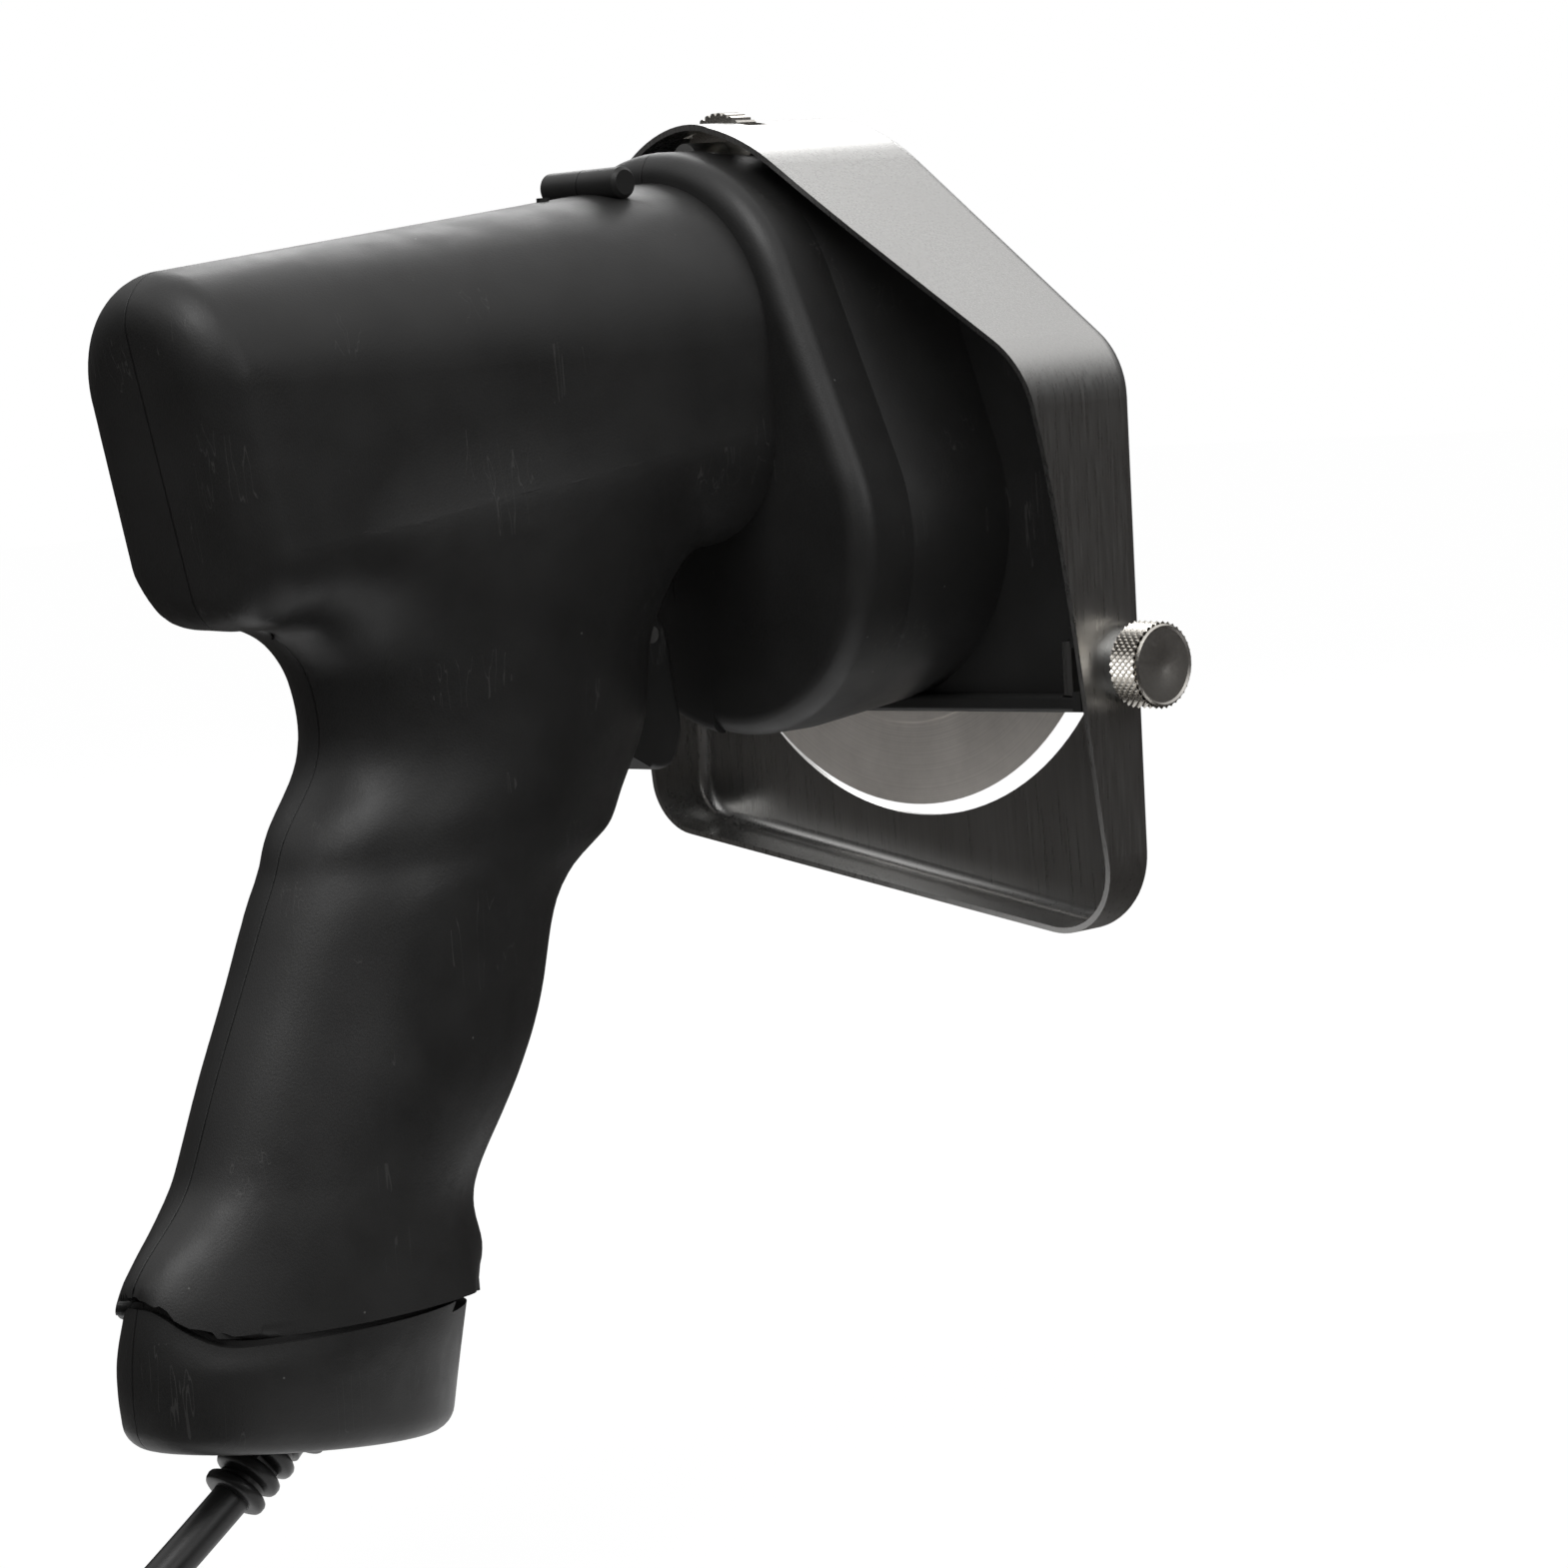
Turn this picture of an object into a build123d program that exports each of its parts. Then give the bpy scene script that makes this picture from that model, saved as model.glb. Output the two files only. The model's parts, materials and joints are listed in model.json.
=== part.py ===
from build123d import *
import math
import os

os.makedirs("parts", exist_ok=True)

# Working frame: X = 0 is the front face of the guard and +X points at the meat,
# Y = 0 is the mid-plane of the housing and -Y the lock knob's side,
# Z = 0 is the motor axis. export() moves every piece so that the grip centre is the origin.
overrun = 6.0
running = 0.05
fit = 0.02
gap = 0.3
wall = 2.6
sheet = 1.0

# Gear train: a pinion on the motor turns a large gear on the blade arbor
gear_module = 1.25
pinion_teeth = 11
wheel_teeth = 47
backlash = 0.34
pressure_angle = math.radians(20)
root_share = 1.25
gear_tip_share = 0.8
axle_distance = gear_module * (pinion_teeth + wheel_teeth) / 2
axle_lean = math.radians(21.6)
blade_y = -axle_distance * math.sin(axle_lean)
blade_z = -axle_distance * math.cos(axle_lean)
pinion_face = 9.0
wheel_face = 8.0
hub_radius = 9.0
wheel_rim = 4.0
web = 3.0

# Blade and its arbor
blade_radius = 50.0
blade_thickness = 1.6
blade_recess = 1.6
bevel = 2.2
edge_thickness = 0.2
disc_radius = 35.3
disc_step = 0.35
flange_radius = 10.0
flange_gap = 1.0
spigot_radius = 4.0
arbor_radius = 5.0
arbor_screw_radius = 2.5
arbor_screw_length = 14.0
screw_head_radius = 5.5
screw_head_height = 1.2
driver_slot = 1.2
blade_washer_radius = 9.0
blade_washer_thickness = 0.9

# Guard: one formed sheet around the blade, open behind
guard_top = 37.8
near_reach = 69.5
bottom_reach = 94.1
slant_angle = math.radians(38.6)
near_lean = math.radians(2.0)
far_lean = math.radians(4.7)
bottom_slope = math.radians(9.9)
near_corner = 14.0
near_foot = 14.0
far_foot = 9.0
bend_radius = 3.4
hole_radius = 52.2
far_cut_share = 0.53
guard_depth = 38.0
guard_travel = 8.0
rear_edge_shares = [(-0.20, -3.0), (-0.34, -2.2), (-0.568, -0.715), (-0.816, 0.21), (-0.947, 0.74),
                    (-0.98, 1.2)]
far_edge_shares = [(-1.0, -0.3), (-0.963, -0.21), (-0.805, 0.466), (-0.66, 1.1)]

# Thickness wheel, its stud and the slot in the guard
dial_radius = 8.0
dial_width = 4.5
dial_front = 22.0
dial_height = 31.6
dial_notches = 32
notch_depth = 0.55
# where a notch's floor and its tooth's two corners lie within one step
notch_shares = [0.0, 0.3, 0.7]
slot_half = 8.4
stud_radius = 3.0
lug_wall = 1.6

# Lock knob on the near wall of the guard
knob_radius = 7.4
knob_length = 6.4
knob_x = 4.9
knob_drop = 58.6
knob_chamfer = 0.5
knob_face_radius = 6.6
knob_face_depth = 0.35
knob_dimple = 1.1
bolt_radius = 2.0
washer_radius = 6.0
washer_thickness = 2.0
bar_thickness = 2.0
bar_height = 9.0
rail_thickness = 1.8
bar_tail = 7.0
bar_boss = 7.0

# Gear case
case_radius = 33.3
case_rear = 45.0
case_joint = 32.6
case_ridge = 4.2
case_front = 13.0
front_top_radius = 36.0
front_top_y = -6.0
front_top_z = -6.0
front_low_radius = 33.3
front_low_y = -17.0
front_low_z = -31.0
chord_drop = 65.8
motor_well = 14.0
cavity_front = 28.4

# Blade cover
cover_front = 10.5
cover_clearance = 0.8
lip_height = 3.0
lip_depth = 2.4
lip_round = 0.9

# Housing halves: barrel and handle
body_length = 156.2
handle_drop = 170.0
barrel_radius = 28.2
barrel_bottom = 34.0
barrel_corner_share = 0.7
barrel_taper = 0.0908
barrel_fall = 0.061
rear_lean = math.radians(11.0)
rear_height = 9.0
rear_round = 8.5
handle_half_width = 19.4
# drop, back, front, half width
handle_shares = [(0.118, 0.82, 0.335, 1.10), (0.165, 0.825, 0.325, 1.20), (0.212, 0.825, 0.32, 1.255),
                 (0.241, 0.82, 0.339, 1.237), (0.276, 0.81, 0.362, 1.20), (0.329, 0.80, 0.3745, 1.149),
                 (0.418, 0.848, 0.413, 1.082), (0.459, 0.871, 0.4385, 1.046), (0.494, 0.89, 0.496, 1.031),
                 (0.529, 0.909, 0.525, 1.005), (0.588, 0.941, 0.544, 0.979), (0.70, 0.9987, 0.604, 0.979),
                 (0.776, 1.039, 0.6626, 0.954), (0.812, 1.06, 0.6697, 0.969), (0.95, 1.13, 0.675, 0.99)]

# Base: a shoe on a tilted plane below the handle
base_tilt = math.radians(7.4)
base_x = 150.0
base_drop = 168.6
base_height = 23.0
base_half_length = 32.0
base_half_width = 19.3
base_round = 4.5
# level from top to bottom, forward shift of the centre, half length, half width
base_shares = [(0.0, 0.34, 1.0, 1.0), (0.5, 0.255, 0.985, 1.0), (1.0, 0.225, 0.935, 0.945)]
groove_width = 1.0
groove_depth = 1.2
grip_x = 119.0
grip_drop = 105.0

# Moulded bar and nib across the top of the barrel
boss_x = 57.5
boss_height = 28.3
boss_radius = 2.7
boss_half = 9.6
boss_round = 0.6
nib_x = 67.7
nib_radius = 1.1

# Housing screws, driven from the far side
screw_radius = 1.5
screw_head = 3.0
screw_head_thick = 2.0
screw_reach = 20.0
post_radius = 4.2
post_shares = [(0.905, -0.03), (0.88, 0.205), (0.448, 0.2235), (0.68, 0.30), (0.665, 0.66), (0.935, 0.882),
               (0.743, 0.9235)]

# Gearbox and cover screws, on the shell
head_depth = 2.6
gearbox_screw_shares = [(0.59, 0.42), (-0.63, 0.51), (0.74, -0.24)]
gearbox_screw_length = 24.0
cover_screw_shares = [(0.6, 0.24), (-1.02, 0.1), (0.24, -1.44), (-1.26, -1.35)]
cover_screw_length = 9.0
cover_head_height = 1.5

# Motor
motor_radius = 19.4
motor_bore = 11.6
motor_front = 68.0
motor_length = 28.0
yoke = 3.4
pole_half_angle = 42.0
coil_inner = 12.3
coil_outer = 15.7
coil_overhang = 3.6
coil_from = 46.0
coil_to = 84.0
core_radius = 11.0
core_slots = 11
core_slot_width = 1.6
core_slot_depth = 3.2
winding_radius = 9.4
winding_length = 5.0
shaft_radius = 3.0
shaft_front = 28.9
shaft_rear = 129.0
commutator_radius = 6.4
commutator_x = 105.6
commutator_length = 9.0
commutator_bars = 22
bar_slot = 0.4
bearing_radius = 9.5
bearing_width = 6.0
race_thickness = 2.2
shield_step = 0.5
front_bearing_x = 46.2
rear_bearing_x = 119.0
bulkhead = 8.0
brush_width = 5.0
brush_height = 6.4
brush_wall = 0.8
brush_length = 9.0
brush_stand = 1.2
brush_seat = 13.0

# Arbor bearings
arbor_bearing_radius = 13.0
arbor_bearing_width = 8.0
arbor_bearing_x = 13.3
bush_radius = 8.0
bush_width = 4.2
bush_wall = 3.0
gear_x = 29.9
pinion_x = 29.4

# Trigger and switch
pivot_x = 61.5
pivot_drop = 47.6
pivot_radius = 1.5
pivot_length = 24.0
trigger_half = 7.0
trigger_clearance = 0.4
trigger_depth = 9.6
trigger_height = 23.5
trigger_round = 1.2
trigger_front_shares = [(0.69, 0.10), (0.83, -0.02), (0.93, -0.37), (1.0, -0.78), (0.93, -0.865),
                        (0.71, -0.975), (0.43, -1.0), (0.2, -0.98)]
trigger_back_shares = [(-0.26, -0.87), (-0.42, -0.75), (-0.42, -0.50), (-0.30, 0.11), (0.21, 0.145)]
switch_x = 74.0
switch_length = 22.0
switch_height = 19.0
switch_half = 8.0
switch_drop = 52.0
switch_lug = 2.0
button_radius = 2.2
button_drop = 62.4
button_inside = 3.5
button_travel = 2.4

# Wiring in the handle
block_x = 112.0
block_drop = 98.0
block_length = 17.0
block_height = 12.0
block_half = 9.0
block_screw = 1.8
capacitor_radius = 5.0
capacitor_length = 15.0
lead_radius = 1.1
bend_share = 0.45

# Strain relief and cord
cord_radius = 3.15
relief_exit_x = 147.4
relief_angle = math.radians(41.0)
relief_top_radius = 5.5
relief_tip_radius = 4.5
relief_outside = 11.4
relief_inside = 11.0
relief_flange_radius = 8.0
relief_flange = 2.4
relief_neck = 3.4
relief_grooves = 2
relief_groove_width = 1.3
relief_groove_depth = 1.0
clamp_half = 7.5
clamp_height = 6.0
clamp_length = 6.0
clamp_stand = 17.0
cord_route = [(-165.5, 0.0, -182.6), (-178.5, 0.2, -190.8), (-192.0, 0.6, -197.4), (-207.5, 1.0, -201.85),
              (-223.0, 1.0, -201.85)]
tail_route = [(-134.0, 0.0, -157.3), (-121.5, 0.0, -136.5), (-119.5, 0.0, -110.0)]
turn_pitch = 6.95
layer_pitch = 6.8
turns_each_layer = 3
mean_turn_radius = 35.0
tail_rise = 3.6
tail_length = 34.0
tie_width = 6.0
tie_thickness = 1.2
tie_clearance = 0.8

# Plug: two pins in a moulded body
plug_gland_length = 20.0
plug_gland_radius = 5.0
plug_neck_radius = 8.0
plug_length = 34.0
plug_half_width = 17.5
plug_half_height = 13.4
plug_round = 4.0
pin_radius = 2.4
pin_length = 19.0
pin_spacing = 19.0
pin_tip = 1.2
pin_shank_radius = 1.8
pin_neck = 0.4


def export(name, shape):
    """Move the piece so that the grip centre is the origin, and write it."""
    shape.label = name
    export_step(Pos(grip_x, 0, grip_drop) * shape, os.path.join("parts", name + ".step"))


def at_x(face, back):
    """Place a face drawn in Y and Z at a distance behind the guard's front."""
    return Pos(-back, 0, 0) * (Plane.YZ * face)


def along_x(face, back, front):
    """Extrude a face drawn in Y and Z between two distances behind the guard's front."""
    return extrude(at_x(face, back), amount=back - front)


def rod(radius, back, front, y=0, z=0):
    return along_x(Pos(y, z) * Circle(radius), back, front)


def along_y(face, near, far):
    """Extrude a face drawn in X and Z between two Y places."""
    return extrude(Pos(0, near, 0) * (Plane.XZ * face), amount=near - far)


def pin_y(radius, near, far, x, z):
    return along_y(Pos(x, z) * Circle(radius), near, far)


def block(x_from, x_to, y_from, y_to, z_from, z_to):
    return Pos(x_from, y_from, z_from) * Box(
        x_to - x_from, y_to - y_from, z_to - z_from, align=(Align.MIN, Align.MIN, Align.MIN))


def oval(start, start_radius, end, end_radius):
    """Face inside two circles and their two outer tangents."""
    axis = math.atan2(end[1] - start[1], end[0] - start[0])
    spread = math.acos((start_radius - end_radius) / math.dist(start, end))

    def rim(centre, radius, angle):
        return (centre[0] + radius * math.cos(angle), centre[1] + radius * math.sin(angle))

    first = rim(start, start_radius, axis + spread)
    second = rim(start, start_radius, axis - spread)
    third = rim(end, end_radius, axis - spread)
    fourth = rim(end, end_radius, axis + spread)
    return make_face([ThreePointArc(first, rim(start, start_radius, axis + math.pi), second),
                      Line(second, third),
                      ThreePointArc(third, rim(end, end_radius, axis), fourth),
                      Line(fourth, first)])


def meeting(first, second):
    """Point where two lines meet, each given by its normal's angle and its distance."""
    a1, b1, d1 = math.cos(first[0]), math.sin(first[0]), first[1]
    a2, b2, d2 = math.cos(second[0]), math.sin(second[0]), second[1]
    det = a1 * b2 - a2 * b1
    return ((d1 * b2 - d2 * b1) / det, (a1 * d2 - a2 * d1) / det)


def guard_outline(inset):
    """The guard seen from the front, moved in by an inset: arch, slant, near wall, foot, far wall."""
    slant = (math.pi / 2 + slant_angle, guard_top - inset)
    near = (math.pi + near_lean, near_reach - inset)
    foot = (-math.pi / 2 + bottom_slope, bottom_reach - inset)
    far = (far_lean, guard_top - inset)
    corners = [meeting(slant, near), meeting(near, foot), meeting(foot, far), meeting(far, slant)]
    radii = [near_corner, near_foot, far_foot, guard_top]
    face = Polygon(*corners, align=None)
    for corner, radius in zip(corners, radii):
        nearest = face.vertices().sort_by_distance((corner[0], corner[1], 0))[0]
        face = fillet(nearest, radius - inset)
    return face


def case_outline(inset):
    return oval((0, 0), case_radius - inset, (blade_y, blade_z), case_radius - inset)


def dial_pocket():
    """Room over the gears in which the thickness wheel turns and travels."""
    half = dial_radius + 2 * gap
    back = dial_front + dial_width + guard_travel + gap
    return block(-back, -dial_front + 2 * gap, -half, half, dial_height - half, guard_top)


def gear_cavity():
    """Room for the two gears, behind and ahead of the case joint."""
    swing = gear_module * (wheel_teeth / 2 + 1) + gap
    return along_x(oval((0, 0), motor_well, (blade_y, blade_z), swing), case_rear - wall, cavity_front)


# Housing halves

def barrel_section(distance, inset):
    """Round-topped section of the barrel at a distance behind the guard's front."""
    along = distance - case_rear
    radius = barrel_radius - along * barrel_taper - inset
    bottom = -barrel_bottom - along * barrel_fall + inset
    corner = radius * barrel_corner_share
    low = bottom + corner
    slack = corner * (1 - math.cos(math.pi / 4))
    outline = [ThreePointArc((radius, 0), (0, radius), (-radius, 0)),
               Line((-radius, 0), (-radius, low)),
               ThreePointArc((-radius, low), (slack - radius, bottom + slack), (corner - radius, bottom)),
               Line((corner - radius, bottom), (radius - corner, bottom)),
               ThreePointArc((radius - corner, bottom), (radius - slack, bottom + slack), (radius, low)),
               Line((radius, low), (radius, 0))]
    return at_x(make_face(outline), distance)


def barrel(inset):
    """Tapered barrel with a leaning, rounded rear end."""
    ends = [barrel_section(case_rear - inset, inset), barrel_section(body_length + overrun, inset)]
    shape = loft(ends, ruled=True)
    size = 2 * body_length
    behind = Pos(-body_length + inset, 0, rear_height) * Rot(0, -math.degrees(rear_lean), 0) * Box(
        size, size, size, align=(Align.MAX, Align.CENTER, Align.CENTER))
    shape = shape - behind
    rim = shape.faces().sort_by(Axis.X)[0].edges()
    return fillet(rim, rear_round - inset)


def base_plane(drop):
    """The tilted plane of the base's underside, or one parallel to it above."""
    return Pos(-base_x, 0, -drop) * Rot(0, math.degrees(base_tilt), 0)


def base_section(share, shift, length_share, width_share, inset):
    """Ellipse of the base on a tilted plane, from its top at share 0 to its underside at share 1."""
    place = base_plane(base_drop - base_height * (1 - share)) * Pos(base_half_length * shift, 0, 0)
    return place * Ellipse(base_half_length * length_share - inset, base_half_width * width_share - inset)


def base(inset):
    """Shoe under the handle, with a neck above it that leaves the groove."""
    shape = loft([base_section(*shares, inset) for shares in base_shares])
    size = 2 * body_length
    down = (Align.CENTER, Align.CENTER, Align.MAX)
    under = base_plane(base_drop - inset) * Box(size, size, size, align=down)
    shape = shape - under
    rim = shape.faces().sort_by(Axis.Z)[0].edges()
    shape = fillet(rim, base_round - min(inset, base_round / 2))
    top = base_section(*base_shares[0], inset + groove_depth)
    return shape + extrude(top, amount=groove_width) + extrude(top, amount=-2 * groove_width)


def handle(inset):
    """Leaning handle, as a loft through level ellipses, cut off above the groove."""
    sections = []
    for drop_share, back_share, front_share, width_share in handle_shares:
        back = body_length * back_share
        front = body_length * front_share
        half_depth = (back - front) / 2 - inset
        half_width = handle_half_width * width_share - inset
        place = Pos(-(back + front) / 2, 0, -handle_drop * drop_share)
        sections.append(place * Ellipse(half_depth, half_width))
    shape = loft(sections)
    size = 2 * body_length
    level = base_drop - base_height - groove_width + inset
    return shape - base_plane(level) * Box(size, size, size, align=(Align.CENTER, Align.CENTER, Align.MAX))


def case_shell():
    """Rear part of the gear case, moulded with the halves, with its rounded ridge."""
    shape = along_x(case_outline(0), case_rear, case_joint)
    ridge = shape.faces().sort_by(Axis.X)[0].edges()
    return fillet(ridge, case_ridge)


def screw_posts():
    """Posts that the housing screws pull together."""
    reach = 2 * handle_half_width
    return [pin_y(post_radius, reach, -reach, x, z) for x, z in screw_places()]


def bulkheads():
    """Walls across the barrel that hold the two motor bearings and the stator."""
    walls = [(front_bearing_x + bearing_width, case_rear, 0), (rear_bearing_x + bulkhead, rear_bearing_x, 0),
             (motor_front + wall, motor_front, motor_radius + running),
             (motor_front + motor_length, motor_front + motor_length - wall, motor_radius + running)]
    size = 2 * body_length
    low = block(-size, 0, -size, size, -size, -barrel_radius)
    plates = []
    for back, front, opening in walls:
        plate = rod(2 * barrel_radius, back, front) - low
        if opening > 0:
            plate = plate - rod(opening, back + gap, front - gap)
        plates.append(plate)
    return plates


def brush_blocks():
    """Side blocks that carry the brush holders."""
    half = brush_height / 2 + brush_wall + wall
    back = commutator_x + commutator_length + brush_stand
    front = commutator_x - brush_stand
    return [block(-back, -front, brush_seat, 2 * barrel_radius, -half, half),
            block(-back, -front, -2 * barrel_radius, -brush_seat, -half, half)]


def seat_ribs():
    """Ribs in the handle that carry the switch and the terminal block."""
    switch_end = switch_x + switch_length
    block_end = block_x + block_length
    low = switch_drop + switch_height + wall
    places = [(switch_x + wall, switch_drop - wall, low), (switch_end - 3 * wall, switch_drop - wall, low),
              (block_x + wall, block_drop, block_drop + block_height),
              (block_end - 2 * wall, block_drop, block_drop + block_height)]
    half = 2 * handle_half_width
    return [block(-x - wall, -x, -half, half, -bottom, -top) for x, top, bottom in places]


def pivot_posts():
    """Posts inside the front of the handle that hold the trigger's pin."""
    inner = trigger_half + trigger_clearance
    reach = 2 * handle_half_width
    return [pin_y(post_radius, reach, inner, -pivot_x, -pivot_drop),
            pin_y(post_radius, -inner, -reach, -pivot_x, -pivot_drop)]


def relief_boss():
    """Thick wall in the base around the strain relief."""
    reach = relief_neck + relief_flange + wall
    return relief_place() * (Pos(0, 0, -reach) * Cylinder(
        relief_flange_radius + wall, 2 * reach, align=(Align.CENTER, Align.CENTER, Align.MIN)))


def bush_boss():
    """Ring inside the case that holds the arbor's rear bush."""
    return rod(bush_radius + bush_wall, case_rear - wall, case_rear - wall - bush_width + wall / 2,
               blade_y, blade_z)


def motor_bores():
    """Bearing seats and openings along the motor's axis, and the bush's seat."""
    bearing = bearing_radius + running
    opening = bearing_radius - race_thickness
    front_end = front_bearing_x + bearing_width
    rear_end = rear_bearing_x + bearing_width
    return [rod(bearing, front_end + gap, front_bearing_x),
            rod(opening, front_bearing_x + gap, case_rear - wall - gap),
            rod(bearing, rear_end, rear_bearing_x - gap),
            rod(opening, rear_bearing_x + bulkhead + gap, rear_bearing_x),
            rod(bush_radius + running, arbor_rear(), cavity_front, blade_y, blade_z)]


def housing():
    """The whole moulding before it is parted at the mid-plane."""
    outer = barrel(0) + handle(0) + base(0)
    room = barrel(wall) + handle(wall) + base(wall) - rod(body_length, case_rear + wall, 0)
    ribs = bulkheads() + brush_blocks() + seat_ribs() + pivot_posts() + screw_posts() + [relief_boss()]
    room = room - ribs
    shape = outer - room + case_shell() + top_bar()
    shape = shape - [gear_cavity(), dial_pocket()] + bush_boss()
    pin = pin_y(pivot_radius + running, pivot_length / 2, -pivot_length / 2, -pivot_x, -pivot_drop)
    cuts = motor_bores() + screw_holes() + gearbox_screw_holes()
    cuts = cuts + [brush_windows(), trigger_opening(), switch_room(), block_room(), pin]
    cuts.append(strain_relief_solid(running))
    return shape - cuts


def top_bar():
    """Moulded bar across the top of the barrel, with a nib behind it."""
    bar = pin_y(boss_radius, boss_half, -boss_half, -boss_x, boss_height)
    bar = chamfer(bar.edges().filter_by(GeomType.CIRCLE), boss_round)
    nib_height = barrel_radius - (nib_x - case_rear) * barrel_taper
    return bar + Pos(-nib_x, 0, nib_height) * Cylinder(nib_radius, nib_radius)


def brush_windows():
    half = brush_height / 2 + brush_wall + running
    width = brush_width / 2 + brush_wall + running
    middle = commutator_x + commutator_length / 2
    reach = commutator_radius + brush_stand + brush_length
    return block(-middle - width, width - middle, -reach, reach, -half, half)


def trigger_opening():
    """Slot in the front of the handle for the trigger, with room for its swing."""
    half = trigger_half + trigger_clearance
    low = pivot_drop + trigger_height + 2 * trigger_clearance
    high = pivot_drop - trigger_height * trigger_back_shares[-1][1] - 2 * trigger_clearance
    return block(-pivot_x - trigger_depth, -pivot_x + 2 * trigger_depth, -half, half, -low, -high)


def switch_room():
    return block(-switch_x - switch_length - running, -switch_x + wall, -switch_half - running,
                 switch_half + running, -switch_drop - switch_height - running, -switch_drop + running)


def block_room():
    return block(-block_x - block_length - running, -block_x + running, -block_half - running,
                 block_half + running, -block_drop - block_height - running, -block_drop + running)


def screw_places():
    """X and Z of each housing screw."""
    return [(-body_length * back, -handle_drop * drop) for back, drop in post_shares]


def screw_holes():
    """Hole and head recess of each housing screw, from the far side."""
    seat = handle_half_width / 2
    holes = []
    for x, z in screw_places():
        holes.append(pin_y(screw_radius + running, body_length, seat - screw_reach - gap, x, z))
        holes.append(pin_y(screw_head + gap, body_length, seat, x, z))
    return holes


def screw(shank, head, height, length):
    """Plain screw along +Z, with the underside of its head at zero."""
    body = Cylinder(shank, length, align=(Align.CENTER, Align.CENTER, Align.MIN))
    return body + Pos(0, 0, -height) * Cylinder(head, height, align=(Align.CENTER, Align.CENTER, Align.MIN))


def housing_half(shape, side):
    size = 2 * body_length
    return shape & block(-size, size, min(0, side * size), max(0, side * size), -size, size)


def housing_screws():
    seat = handle_half_width / 2
    one = Rot(90, 0, 0) * screw(screw_radius, screw_head, screw_head_thick, screw_reach)
    return Compound(children=[Pos(x, seat, z) * one for x, z in screw_places()])


# Gearbox and blade cover

def gearbox_shell():
    """Front of the gear case, flared towards the blade cover, with the stud's lug on top."""
    front_face = oval((front_top_y, front_top_z), front_top_radius,
                      (front_low_y, front_low_z), front_low_radius)
    shape = loft([at_x(case_outline(0), case_joint), at_x(front_face, case_front)], ruled=True)
    lug_radius = stud_radius + lug_wall
    lug = rod(lug_radius, lug_back(), case_front + gap, 0, dial_height)
    foot = block(-lug_back(), -case_front - gap, -lug_radius, lug_radius,
                 dial_height - 2 * lug_radius, dial_height)
    shape = shape + lug + foot
    shape = shape - gear_cavity() - dial_pocket()
    shape = shape - rod(stud_radius + fit, lug_back() + gap, case_front + wall, 0, dial_height)
    shape = shape - rod(arbor_bearing_radius + running, arbor_bearing_x + arbor_bearing_width,
                        case_front - gap, blade_y, blade_z)
    shape = shape - rod(arbor_bearing_radius - race_thickness, cavity_front + gap, arbor_bearing_x,
                        blade_y, blade_z)
    for y, z in gearbox_screw_places():
        shape = shape - rod(screw_radius + running, case_joint + gap, case_front, y, z)
        shape = shape - rod(screw_head + gap, case_front + head_depth, case_front - gap, y, z)
    for y, z in cover_screw_places():
        shape = shape - rod(screw_radius + running, cover_front + cover_screw_length + gap, case_front, y, z)
    size = 2 * body_length
    lip_room = block(-case_front - lip_depth - gap, overrun, -size, size,
                     -size, lip_height + gap - chord_drop)
    return shape - lip_room


def lug_back():
    """Distance of the lug's rear face, just ahead of the wheel's room."""
    return dial_front - 2 * gap


def gearbox_screw_places():
    return [(case_radius * y, case_radius * z) for y, z in gearbox_screw_shares]


def cover_screw_places():
    return [(case_radius * y, case_radius * z) for y, z in cover_screw_shares]


def gearbox_screw_holes():
    """Blind holes in the housing for the screws that hold the gearbox shell."""
    depth = case_front + head_depth + gearbox_screw_length + gap
    return [rod(screw_radius + running, depth, case_front, y, z) for y, z in gearbox_screw_places()]


def gearbox_screws():
    one = Rot(0, -90, 0) * screw(screw_radius, screw_head, head_depth - gap, gearbox_screw_length)
    return Compound(children=[Pos(-case_front - head_depth, y, z) * one for y, z in gearbox_screw_places()])


def cover_screws():
    one = Rot(0, -90, 0) * screw(screw_radius, screw_head, cover_head_height, cover_screw_length)
    return Compound(children=[Pos(-cover_front, y, z) * one for y, z in cover_screw_places()])


def blade_cover():
    """Plate behind the blade, shaped like the inside of the guard and cut off below."""
    outline = guard_outline(sheet + cover_clearance)
    plate = along_x(outline, case_front, cover_front)
    size = 2 * body_length
    plate = plate - block(-size, size, -size, size, -size, -chord_drop)
    lip = block(-case_front - lip_depth, -cover_front, -size, size, -chord_drop, -chord_drop + lip_height)
    lip = lip & along_x(outline, case_front + lip_depth, cover_front)
    lip = fillet(lip.edges().filter_by(Axis.Y), lip_round)
    plate = plate + lip
    plate = plate - rod(flange_radius + gap, case_front + gap, cover_front - gap, blade_y, blade_z)
    for y, z in cover_screw_places():
        plate = plate - rod(screw_radius + running, case_front + gap, cover_front - gap, y, z)
    return plate - bar_window() + lock_rail() - boss_slot()


def near_face(z):
    """Y of the guard's near wall, outside, at a height."""
    return -(near_reach + z * math.sin(near_lean)) / math.cos(near_lean)


def lock_place():
    """Frame on the outside of the near wall, at the lock bolt, with +Z pointing outwards."""
    return Pos(-knob_x, near_face(-knob_drop), -knob_drop) * Rot(90 + math.degrees(near_lean), 0, 0)


def lock_plate(x_from, x_to, height, low, high):
    """Block in the lock's frame: along X, centred in height, between two depths."""
    return lock_place() * (Pos(x_from, 0, low) * Box(
        x_to - x_from, height, high - low, align=(Align.MIN, Align.CENTER, Align.MIN)))


def lock_rail():
    """Edge of the cover that the lock bar grips, beside the near wall."""
    top = -sheet - gap
    return lock_plate(knob_x - case_front - wall, knob_x - cover_front, bar_height + 2 * wall,
                      top - rail_thickness, top)


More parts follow.
